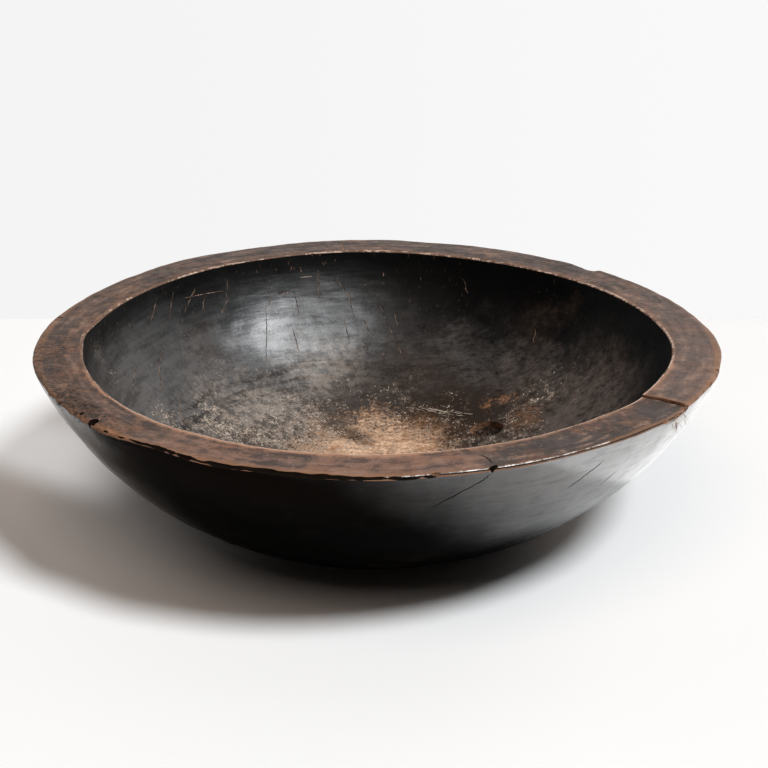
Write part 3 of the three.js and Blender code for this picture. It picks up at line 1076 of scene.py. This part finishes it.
def push(piece, place, move, reach):
    """Pulls the nearest point by move and takes its neighbours along within reach."""
    pick_nearest(piece, place)
    bpy.ops.transform.translate(value=move, proportional_size=reach, **SOFT)


for azimuth, rise in ((-45, SADDLE), (135, SADDLE), (45, -SADDLE), (-135, -SADDLE)):
    push(bowl, around(209, azimuth, 124), (0, 0, rise), 0.22)
let_go()
print("rim top now at", round(max(point.co.z for point in bowl.data.vertices), 5))

# %% [markdown]
# ## Worn outline
# Knocks and uneven shrinking have moved the edge of the rim in and out by a few millimetres. Each pull
# below says at which azimuth, how far outwards and upwards in mm, and how far it reaches in metres.

# %% Worn outline
edge_pulls = [
    (177, 2.6, 0.0, 0.09),
    (-169, 2.2, 0.0, 0.072),
    (128, 1.0, 0.4, 0.07),
    (95, 0.8, 0.9, 0.12),
    (-5, 2.4, 0.0, 0.075),
    (-19, 1.6, 0.0, 0.03),
    (-126, -2.8, 0.4, 0.045),
    (-108, -1.2, 0.0, 0.03),
    (-90, 0.6, -0.6, 0.04),
    (-57, -0.6, 0.0, 0.042),
    (-146, -1.6, -1.2, 0.026),
]
edit(bowl)
for azimuth, out, up, reach in edge_pulls:
    push(bowl, around(224, azimuth, 121.5), around(out, azimuth, up), reach)
print("edge pulled in", len(edge_pulls), "places")

# %% [markdown]
# The wall is a little flatter at the back left, where the gouge took off less. That flat catches the
# light as one broad sheen. The foot was moved a hair by all this, so its points are pressed flat again.

# %% Flat on the wall, and a true foot
push(bowl, around(194, 178, 123.8), around(1.8, 178, 0), 0.028)
push(bowl, around(167, 104, 76), around(-3.4, 104, 1.6), 0.064)
push(bowl, around(167, 136, 76), around(1.6, 136, -0.8), 0.05)
pick(bowl, lambda place: place.z < 0.0007)
bpy.ops.transform.resize(value=(1, 1, 0), center_override=(0, 0, 0))
let_go()
print("lowest point now at", min(point.co.z for point in bowl.data.vertices))

# %% [markdown]
# ## Unevenness
# No old surface is quite true. A Displace modifier with a soft cloud texture gives slow hollows, and
# a finer one the small ones. A vertex group keeps the foot flat, because the bowl stands on it.

# %% Unevenness


def roughen(piece, size, strength, group=""):
    """Moves the points of a piece in and out by a cloud texture of the given size."""
    texture = bpy.data.textures.new("uneven", "CLOUDS")
    texture.noise_scale = size
    texture.noise_depth = 2
    settings = {"texture": texture, "texture_coords": "LOCAL", "strength": strength, "mid_level": 0.5}
    apply_modifier(piece, "DISPLACE", vertex_group=group, **settings)


def weigh(piece, name, weight):
    """Makes a vertex group with a weight worked out from each point's place."""
    group = piece.vertex_groups.new(name=name)
    for point in piece.data.vertices:
        group.add([point.index], weight(point.co), "REPLACE")


weigh(bowl, "off_the_foot", lambda place: min(1, max(0, (place.z - 0.0005) / 0.006)))
roughen(bowl, 0.05, 0.0016, "off_the_foot")
roughen(bowl, 0.012, 0.0006, "off_the_foot")
print("bowl made uneven; its lowest point is at", min(point.co.z for point in bowl.data.vertices))

# %% [markdown]
# ## Crumbled end grain
# At the front left the rim shows its end grain, and there the edge has crumbled into ridges. The faces
# of that stretch are subdivided, and two coarse Displace steps break them up. The weights fade out
# at its borders.

# %% Crumbled end grain
CRUMBLE = (-158, -131)


def crumble_weight(place):
    """Full in the middle of the crumbled stretch of the rim, fading to nothing at its borders."""
    azimuth = math.degrees(math.atan2(place.y, place.x))
    along = min(azimuth - CRUMBLE[0], CRUMBLE[1] - azimuth) / 6
    across = (place.xy.length - 0.203) / 0.014
    upwards = (place.z - 0.1155) / 0.004
    return max(0, min(1, along, across, upwards))


edit(bowl)
pick(bowl, lambda place: crumble_weight(place) > 0)
bpy.ops.mesh.subdivide(number_cuts=2)
let_go()
weigh(bowl, "crumble", crumble_weight)
roughen(bowl, 0.007, 0.0050, "crumble")
roughen(bowl, 0.0022, 0.0030, "crumble")
print("faces after the crumbled stretch:", len(bowl.data.polygons))

# %% [markdown]
# ## Cutters
# Splits, chips and checks are missing wood, so they are cut out with Boolean modifiers. The faces that a
# cutter leaves take its finish, which shows fresh wood in the wound. A search tree over the skin finds
# the places for them.

# %% Helpers for places on the skin
from mathutils.bvhtree import BVHTree

chance = random.Random(7)
DOWN = Vector((0, 0, -1))


def skin_of(piece):
    """A search tree over the piece's present faces, for finding places on its skin."""
    return BVHTree.FromObject(piece, bpy.context.evaluated_depsgraph_get())


def on_inside(skin, azimuth, height):
    """The place on the inner wall at an azimuth and a height."""
    start = Vector((0, 0, height * MM))
    return skin.ray_cast(start, around(1000, azimuth, 0))[0]


def on_outside(skin, azimuth, height):
    """The place on the outer wall at an azimuth and a height."""
    return skin.ray_cast(around(400, azimuth, height), -around(1000, azimuth, 0))[0]


def on_top(skin, azimuth, radius):
    """The place on the rim or the floor below an azimuth and a radius."""
    return skin.ray_cast(around(radius, azimuth, 300), DOWN)[0]


print("place helpers ready")

# %% Helpers for cutters


def carve(piece, cutter, finish):
    """Takes the cutter's shape out of a piece; the new faces get the given finish."""
    cutter.data.materials.clear()
    cutter.data.materials.append(finish)
    settings = {"object": cutter, "operation": "DIFFERENCE", "solver": "EXACT"}
    apply_modifier(piece, "BOOLEAN", material_mode="TRANSFER", **settings)
    bpy.data.objects.remove(cutter)


def wavy_blade(middle, turn, size, gap, wave):
    """A thin upright sheet, rippled, thick at its top and nearly closed at its foot."""
    let_go()
    turned = (math.pi / 2, 0, math.radians(turn))
    bpy.ops.mesh.primitive_grid_add(x_subdivisions=34, y_subdivisions=34, size=1, rotation=turned)
    blade = settle(middle, (*size, 1))
    roughen(blade, 0.016, wave)
    top = max(point.co.z for point in blade.data.vertices)
    weigh(blade, "opening", lambda place: 1 - 0.9 * (top - place.z) / size[1])
    apply_modifier(blade, "SOLIDIFY", thickness=gap, offset=0, vertex_group="opening")
    return blade


def pebble(place, size, turn, lumps):
    """A lumpy stone for one chip: an icosphere, stretched in mm, turned and made uneven."""
    let_go()
    bpy.ops.mesh.primitive_ico_sphere_add(subdivisions=3, radius=0.5, rotation=(0, 0, math.radians(turn)))
    stone = settle(place, Vector(size) * MM)
    roughen(stone, max(size) * 0.35 * MM, lumps * MM)
    return stone


def join(pieces):
    """Makes one object of several."""
    take(pieces[0])
    for piece in pieces:
        piece.select_set(True)
    bpy.ops.object.join()
    return bpy.context.object


def follow(skin, finder, path, wobble):
    """Places every few mm along a path on the skin, with a small wobble of the azimuth."""
    places = []
    steps = 6
    for (azimuth, other), (next_azimuth, next_other) in zip(path, path[1:]):
        for step in range(steps):
            share = step / steps
            shake = chance.uniform(-wobble, wobble)
            at = azimuth + (next_azimuth - azimuth) * share + shake
            places.append(finder(skin, at, other + (next_other - other) * share))
    places.append(finder(skin, *path[-1]))
    return [place for place in places if place]


def tubes(name, lines, width, sides=1):
    """Closed tubes along lines of places, thin at both ends; returns one mesh object."""
    curve = bpy.data.curves.new(name, "CURVE")
    curve.dimensions = "3D"
    curve.bevel_depth = width / 2 * MM
    curve.bevel_resolution = sides
    curve.use_fill_caps = True
    for places in lines:
        spline = curve.splines.new("POLY")
        spline.points.add(len(places) - 1)
        for index, (point, place) in enumerate(zip(spline.points, places)):
            point.co = (*place, 1)
            ends = min(index, len(places) - 1 - index) / (len(places) / 2)
            point.radius = 0.35 + 0.65 * min(1, 2.2 * ends)
    made = bpy.data.objects.new(name, curve)
    bpy.context.collection.objects.link(made)
    take(made)
    bpy.ops.object.convert(target="MESH")
    made = bpy.context.object
    edit(made)
    pick_all()
    bpy.ops.mesh.remove_doubles(threshold=0.000005)
    face_outward()
    let_go()
    return made


print("cut helpers ready")

# %% [markdown]
# ## The split across the rim
# On the right the rim has split right through, and the piece on the near side has sunk by nearly two
# millimetres. The split is cut with a rippled blade. Then the near end of the rim is pulled down with
# connected proportional editing, which doesn't reach across the gap.

# %% The split across the rim
SPLIT_STEP = 1.7
blade = wavy_blade(around(207, SPLIT_AZIMUTH, 104), SPLIT_AZIMUTH, (0.060, 0.056), 0.0010, 0.004)
carve(bowl, blade, split_face)
edit(bowl)


def near_end(place):
    """True on the top of the rim just on the near side of the split."""
    azimuth = math.degrees(math.atan2(place.y, place.x))
    outer_half = place.z > 0.119 and place.xy.length > 0.207
    return outer_half and SPLIT_AZIMUTH - 3.2 < azimuth < SPLIT_AZIMUTH - 0.6


pick(bowl, near_end)
sunk = (0, 0, -SPLIT_STEP * MM)
bpy.ops.transform.translate(value=sunk, use_proportional_connected=True, proportional_size=0.042, **SOFT)
let_go()
print("bowl after the split:", len(bowl.data.polygons), "faces")

# %% [markdown]
# ## Lost flake
# At the back right a flake has gone from the outer edge, with a step where it broke off. Its outline is
# drawn as a chain of points, filled, pulled up into a block, made uneven and taken out.

# %% Lost flake
flake_outline = [(231, 54), (225, 52.5), (222, 49), (218, 44.5), (218.6, 42.4), (224, 41.8), (232, 41)]
flake = chain("flake", [around(radius, azimuth, 112) for radius, azimuth in flake_outline])
pick_nearest(flake, Vector((0, 0, 0)))
bpy.ops.mesh.delete(type="VERT")
pick_all()
bpy.ops.mesh.edge_face_add()
extrude((0, 0, 0.018))
face_outward()
bpy.ops.mesh.subdivide(number_cuts=4)
let_go()
roughen(flake, 0.008, 0.0016)
carve(bowl, flake, torn_wood)
print("flake taken out, faces now", len(bowl.data.polygons))

# %% [markdown]
# ## Chips and pits
# Bigger chips sit at the front check, in the crumbled stretch and on both sides of the split. Small
# nicks are strewn along both edges of the rim. Every one is a lumpy stone taken out of the edge.

# %% Chips
# Place, size in mm, turn in degrees and lumps in mm
chips = [
    (around(224.5, -81.8, 124), (6, 5, 4), 8, 1.4),
    (around(220.5, -154.8, 124), (3, 2, 3), -60, 0.5),
    (around(220.5, -152.6, 124), (3, 2.4, 3), -60, 0.5),
    (around(225.4, -40.0, 122.8), (4, 7, 4), -40, 2.0),
    (around(225.4, -36.6, 122.4), (4, 8, 5), -36, 2.4),
    (around(225.4, -33.2, 123), (5, 6, 7), -33, 1.4),
    (around(225.8, -29.6, 124.8), (4, 8, 5), -30, 1.6),
    (around(226.0, -26.2, 125.0), (4, 7, 5), -26, 1.4),
    (around(226.4, -22.6, 125.0), (6, 9, 6), -23, 2.0),
    (around(227.6, -18.4, 124.8), (4, 7, 5), -18, 1.4),
    (around(227.8, -13.0, 124.6), (4, 6, 5), -13, 1.2),
    (around(227, 140, 124.5), (8, 4, 4), 50, 1.0),
]
carve(bowl, join([pebble(*chip) for chip in chips]), torn_wood)
print("chips:", len(chips), "faces now", len(bowl.data.polygons))

# %% Wedge and pits
let_go()
bpy.ops.mesh.primitive_cube_add(size=1, rotation=(math.pi / 4, 0, math.radians(-71)))
wedge = settle(around(226.8, -73.3, 124.4), (0.011, 0.0046, 0.0038))
edit(wedge)
pick_all()
bpy.ops.mesh.subdivide(number_cuts=7)
let_go()
roughen(wedge, 0.004, 0.003)
carve(bowl, wedge, old_break)

pits = [
    (around(221.8, -140.4, 123.4), (8, 6.4, 11), -50, 2.2),
    (around(220.5, -144.6, 124.0), (4.0, 3.4, 6), -30, 1.2),
    (around(213.5, -144.0, 124.6), (3.0, 2.2, 4), 40, 0.8),
    (around(225.0, 169.4, 124.6), (9, 1.8, 3), 169.4, 0.4),
]
carve(bowl, join([pebble(*pit) for pit in pits]), old_break)
print("wedge and pits:", 1 + len(pits), "faces now", len(bowl.data.polygons))

# %% Nicks
nicks = []
for number in range(46):
    azimuth = -178 + number * 7.8 + chance.uniform(-2.5, 2.5)
    outer = number % 2
    radius = chance.uniform(225.6, 226.4) if outer else chance.uniform(191.6, 192.4)
    long = chance.uniform(2.0, 5.5)
    thick = chance.uniform(1.6, 2.8)
    nicks.append(pebble(around(radius, azimuth, 124.6), (thick, long, thick), azimuth, 0.5))
carve(bowl, join(nicks), torn_wood)
print("nicks:", len(nicks), "faces now", len(bowl.data.polygons))

# %% [markdown]
# ## Broken under-edge
# Along the front left the outer edge has broken away to a dark hollow strip, with the rim's orange edge
# above and the outer skin below. A lumpy tube that follows the edge is taken out of it.

# %% Broken under-edge
skin = skin_of(bowl)
edge_line = []
for step in range(60):
    place = on_outside(skin, step - 140.77, 119.3)
    lumpy = Vector((0, 0, chance.uniform(2.0, 3.6) * MM))
    if place:
        edge_line.append(place * (1 + chance.uniform(0.003, 0.008)) + lumpy)
under_edge = tubes("under_edge", [edge_line], 4.4, 2)
roughen(under_edge, 0.006, 0.0016)
carve(bowl, under_edge, old_break)
print("under-edge broken, faces now", len(bowl.data.polygons))

# %% [markdown]
# ## Drying checks
# Fine cracks run down the inner wall, across the rim and down the outside. Each is a tapered tube laid
# along the skin and taken out of the bowl, which leaves a groove with real edges. A path is a list of
# azimuths with a height, or with a radius on the rim. A few pale scratches lie high on the back wall.

# %% Drying checks
inner_checks = [
    [(147, 117), (149.3, 110), (154, 99)],
    [(141.5, 117), (144, 107), (146.7, 98)],
    [(135, 115), (140, 101)],
    [(133, 108), (135, 98)],
    [(127, 103), (130.7, 92.5)],
    [(116.7, 104), (117, 92)],
    [(126.5, 116), (126.8, 110), (127.6, 103)],
    [(118, 93), (120.5, 74), (124, 59)],
    [(110.7, 100), (110.5, 84.5)],
    [(113, 77), (113, 62)],
    [(104, 113), (104.6, 93.5)],
    [(99.8, 107), (97.2, 94.5), (96, 80)],
    [(98.6, 80), (98.3, 64)],
    [(93.8, 78), (91.6, 67)],
    [(90.4, 91), (87.6, 76), (83.5, 58.5), (82, 53)],
    [(85.8, 81.5), (84.6, 73.5)],
    [(69.6, 107.5), (68, 97.5)],
    [(48, 83), (46.8, 75)],
    [(164, 86), (179, 72)],
    [(152.5, 85), (163.5, 66.5)],
    [(157.7, 61.5), (170.6, 49.7)],
]
outer_checks = [
    [(-73.6, 121), (-74.6, 117), (-76.5, 112), (-80, 103), (-82, 98)],
    [(-53, 112), (-55.5, 104), (-58.5, 96)],
    [(-47.8, 96), (-50.2, 88)],
    [(-136, 118.6), (-132.5, 118.4), (-129, 118.8)],
]
rim_checks = [
    [(-73.8, 203), (-73, 211), (-72.9, 219)],
]
rim_wear = [
    [(-75.4, 195), (-74.6, 199), (-73.7, 204)],
    [(141.4, 194), (141.8, 208), (141.2, 223)],
    [(97.4, 194), (97.6, 209), (98.1, 223)],
]
scratches = [
    [(139.3, 110.3), (128.1, 107.9)],
    [(116.0, 97.4), (111.2, 99.7)],
    [(108.5, 108.6), (105.6, 108.8)],
    [(118.6, 117.7), (118.7, 115.5)],
    [(113.8, 117.0), (113.9, 114.8)],
    [(110.2, 117.1), (110.3, 114.9)],
    [(108.0, 115.6), (108.1, 112.1)],
    [(99.8, 120.0), (99.8, 117.7)],
    [(88.6, 109.2), (88.6, 106.4)],
]
skin = skin_of(bowl)
lines = [follow(skin, on_inside, path, 0.1) for path in scratches]
carve(bowl, tubes("scratches", lines, 0.5), inner_corner)
lines = [follow(skin, on_inside, path, 0.25) for path in inner_checks]
carve(bowl, tubes("inner_checks", lines, 0.76), check_dust)
lines = [follow(skin, on_outside, path, 0.2) for path in outer_checks]
lines += [follow(skin, on_top, path, 0.12) for path in rim_checks]
carve(bowl, tubes("outer_checks", lines, 0.9), old_break)
lines = [follow(skin, on_top, path, 0.12) for path in rim_wear]
carve(bowl, tubes("rim_wear", lines, 1.0), worn_line)
print("checks cut, faces now", len(bowl.data.polygons))

# %% [markdown]
# ## The dead knot
# Low on the inside sits the stub of a branch that died before the tree was felled. It has shrunk away
# from the wood round it and sunk a little. Its seat is a tapered oval hole, square to the sloping
# floor; the knot is a separate peg in it, with a cracked and dished face.

# %% Seat of the knot
KNOT_PLACE = (99.5, 38)
KNOT_LONG = 13
KNOT_SHORT = 9.5
KNOT_DEPTH = 13
KNOT_TAPER = 3
KNOT_SINK = 3
KNOT_GAP = 0.3
KNOT_TURN = -58

skin = skin_of(bowl)
seat, seat_way = skin.ray_cast(around(*KNOT_PLACE, 300), DOWN)[:2]
lean = -math.atan2(Vector(seat_way).xy.length, seat_way.z)
knot_turn = Matrix.Rotation(math.radians(KNOT_PLACE[1]), 4, "Z") @ Matrix.Rotation(lean, 4, "Y")
knot_frame = Matrix.Translation(seat) @ knot_turn @ Matrix.Rotation(math.radians(KNOT_TURN), 4, "Z")


def oval_peg(name, bottom, top, rings):
    """An oval tapered peg between two depths in mm, with rings of faces inset on its upper end."""
    let_go()
    bpy.ops.mesh.primitive_circle_add(vertices=56, radius=1, fill_type="NGON")
    peg = bpy.context.object
    peg.name = name
    edit(peg)
    pick_all()
    bpy.ops.transform.resize(value=(KNOT_LONG * MM, KNOT_SHORT * MM, 1))
    bpy.ops.transform.translate(value=(0, 0, top * MM))
    for ring in range(rings):
        bpy.ops.mesh.inset(thickness=0.0016)
    pick_all()
    extrude((0, 0, (bottom - top) * MM))
    shrink = 1 - KNOT_TAPER / KNOT_LONG
    bpy.ops.transform.resize(value=(shrink, shrink, 1), center_override=(0, 0, bottom * MM))
    face_outward()
    let_go()
    return peg


hole = oval_peg("knot_hole", -KNOT_DEPTH - KNOT_SINK - 0.6, 6, 0)
edit(hole)
pick_all()
wider = 1 + KNOT_GAP / KNOT_SHORT
bpy.ops.transform.resize(value=(wider, wider, 1), center_override=(0, 0, 0))
let_go()
hole.data.transform(knot_frame)
carve(bowl, hole, torn_wood)
print("knot seat at", [round(number, 4) for number in seat], "faces now", len(bowl.data.polygons))

# %% Knot finish
KNOT_DARK = (0.006, 0.004, 0.003, 1)
KNOT_ORANGE = (0.075, 0.036, 0.018, 1)
KNOT_GREY = (0.10, 0.082, 0.068, 1)

knot_heart, tree = new_material("knot_heart")
place = object_place(tree)
way = vector_calc("SUBTRACT", place, tuple(seat))[0]
reach = calc("MULTIPLY", vector_calc("LENGTH", way)["Value"], 1000)
wander = cloud(place, 5, 3, 0.6)
fibres = cloud(stretch(place, (1, 0.3, 0.6), 35), 1.8, 3, 0.7, 0.8)
right = add_node(tree, "SeparateXYZ", {0: way}).outputs[0]
colour = paint(fade(fibres, 0.42, 0.60), KNOT_DARK, KNOT_ORANGE)
colour = paint(fade(wander, 0.52, 0.64, 0.0, 0.8), colour, KNOT_GREY)
# The knot's face is painted darker towards its middle.
colour = paint(fade(offset(reach, wander, 8), 8, 3, 0.0, 0.8), colour, KNOT_DARK)
# Painted shade: the right half of the sunk face, on the lamp's side, is painted dark as the rim of its
# seat shades it.
colour = paint(fade(right, -0.002, 0.007, 0.0, 0.8), colour, KNOT_DARK)
relief = heap((fibres, 1.0), (wander, 0.6))
close_wood(tree, colour, level(wander, 0.7, 0.95), relief, 0.8, {"Specular IOR Level": 0.2})
tell("finish knot_heart", tree)

# %% The knot
knot = oval_peg("dead_knot", -KNOT_DEPTH - KNOT_SINK, -KNOT_SINK - 1.6, 4)
edit(knot)
pick(knot, lambda place: place.z > -0.006)
bpy.ops.mesh.subdivide(number_cuts=2)
for shift, sink in (((0.003, -0.001), -0.0042), ((-0.005, 0.002), -0.0016), ((0.006, -0.003), -0.0024)):
    push(knot, Vector((*shift, -0.0046)), (0, 0, sink), 0.007)
let_go()
weigh(knot, "face", lambda place: 1.0 if place.z > -0.0115 and place.xy.length < 0.0085 else 0.0)
roughen(knot, 0.003, 0.0022, "face")
roughen(knot, 0.001, 0.0009, "face")
knot.data.transform(knot_frame)
knot.data.materials.append(knot_heart)
take(knot)
bpy.ops.object.shade_smooth_by_angle(angle=math.radians(45))
print("knot:", len(knot.data.polygons), "faces")

# %% [markdown]
# ## Loose fibres
# Scouring and splitting leave fibres standing up. Most are short straws that lie on the floor in drifts.
# A torn bundle lies by the knot, and a few hang out of the end of the split. Each is a thin tube with
# few faces; the drifts are listed, and a seeded dice places the straws in them.

# %% Fibre finish
FIBRE_BROWN = (0.16, 0.095, 0.055, 1)
FIBRE_CREAM = (0.74, 0.64, 0.52, 1)

loose_fibre, tree = new_material("loose_fibre")
place = object_place(tree)
tone = cloud(place, 6, 2, 0.6)
colour = paint(fade(tone, 0.36, 0.62), FIBRE_BROWN, FIBRE_CREAM)
close_wood(tree, colour, level(tone, 0.6, 0.85), cloud(place, 0.6, 2), 0.05)
print("finish", loose_fibre.name)

# %% Straws on the floor
# Middle and spread in mm across and deep, and how many straws
drifts = [
    ((-146, 20), (9, 6), 46),
    ((-116, 47), (12, 5), 44),
    ((-90, 43), (16, 6), 70),
    ((-48, 94), (10, 6), 44),
    ((0, 117), (12, 6), 30),
    ((46, 72), (18, 14), 60),
    ((100, 44), (12, 8), 30),
    ((122, 76), (8, 10), 22),
]
STRAW_LINE = 0.066
skin = skin_of(bowl)


def floor_below(x, y):
    """The place on the floor below a point in mm."""
    return skin.ray_cast(Vector((x, y, 300)) * MM, DOWN)[0]


def straw(x, y, long, lift):
    """Four places of one straw that lies on the floor and arches a little; none if it is too high."""
    way = chance.uniform(0, math.tau)
    bend = chance.uniform(-1.6, 1.6)
    places = []
    for step in range(4):
        share = step / 3 - 0.5
        turn = way + bend * share
        ground = floor_below(x + long * share * math.cos(turn), y + long * share * math.sin(turn))
        if ground is None or ground.z > STRAW_LINE:
            return []
        places.append(ground + Vector((0, 0, lift * MM * (1.1 - 4 * share * share))))
    return places


straws = []
for middle, spread, count in drifts:
    for number in range(count):
        x = chance.gauss(middle[0], spread[0])
        y = chance.gauss(middle[1], spread[1])
        straws.append(straw(x, y, chance.uniform(1.0, 3.4), chance.uniform(0.1, 0.3)))
straws = [places for places in straws if places]
floor_straws = tubes("floor_straws", straws, 0.36, 0)
floor_straws.data.materials.append(loose_fibre)
print("straws:", len(straws), "faces:", len(floor_straws.data.polygons))

# %% Torn bundle
BUNDLE_START = (33, 97)
BUNDLE_RUN = (30, -14)
bundle = []
for number in range(26):
    share = chance.uniform(0, 1)
    x = BUNDLE_START[0] + BUNDLE_RUN[0] * share + chance.gauss(0, 2)
    y = BUNDLE_START[1] + BUNDLE_RUN[1] * share + chance.gauss(0, 0.9)
    long = chance.uniform(4, 9)
    places = []
    for step in range(4):
        ground = floor_below(x + long * (step / 3 - 0.5), y - 0.45 * long * (step / 3 - 0.5))
        places.append(ground + Vector((0, 0, chance.uniform(0.2, 0.7) * MM)))
    bundle.append(places)
print("bundle:", len(bundle), "fibres")

# %% Fibres at the end of the split
FRINGE_AZIMUTH = -35.6
FRINGE_RADIUS = 223.5
fringe = []
for number in range(12):
    azimuth = FRINGE_AZIMUTH + chance.uniform(-2.2, 2.0)
    start = around(FRINGE_RADIUS, azimuth, 120.5 + chance.uniform(-1, 1))
    swing = chance.uniform(-1.5, 1.5)
    long = chance.uniform(3, 8)
    places = [start]
    for share in (1 / 3, 2 / 3, 1):
        height = 121 - long * share ** 1.4
        places.append(around(FRINGE_RADIUS + 2.8 * share, azimuth + swing * share, height))
    fringe.append(places)
torn_fibres = tubes("torn_fibres", bundle + fringe, 0.34, 0)
torn_fibres.data.materials.append(loose_fibre)
print("fringe:", len(fringe), "fibres")

# %% [markdown]
# ## Ride and replace
# Everything belongs to one rigid body. The bowl, its loose fibres and the knot stand for the two CAD
# solids, which are hidden.

# %% Ride and replace
take(bowl)
bpy.ops.object.shade_smooth_by_angle(angle=math.radians(40))
for piece in (bowl, floor_straws, torn_fibres):
    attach(piece, "root")
    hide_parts("bowl_body")
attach(knot, "root")
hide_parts("floor_knot")
for piece in (bowl, knot, floor_straws, torn_fibres):
    print(piece.name, sum(len(face.vertices) - 2 for face in piece.data.polygons), "triangles")
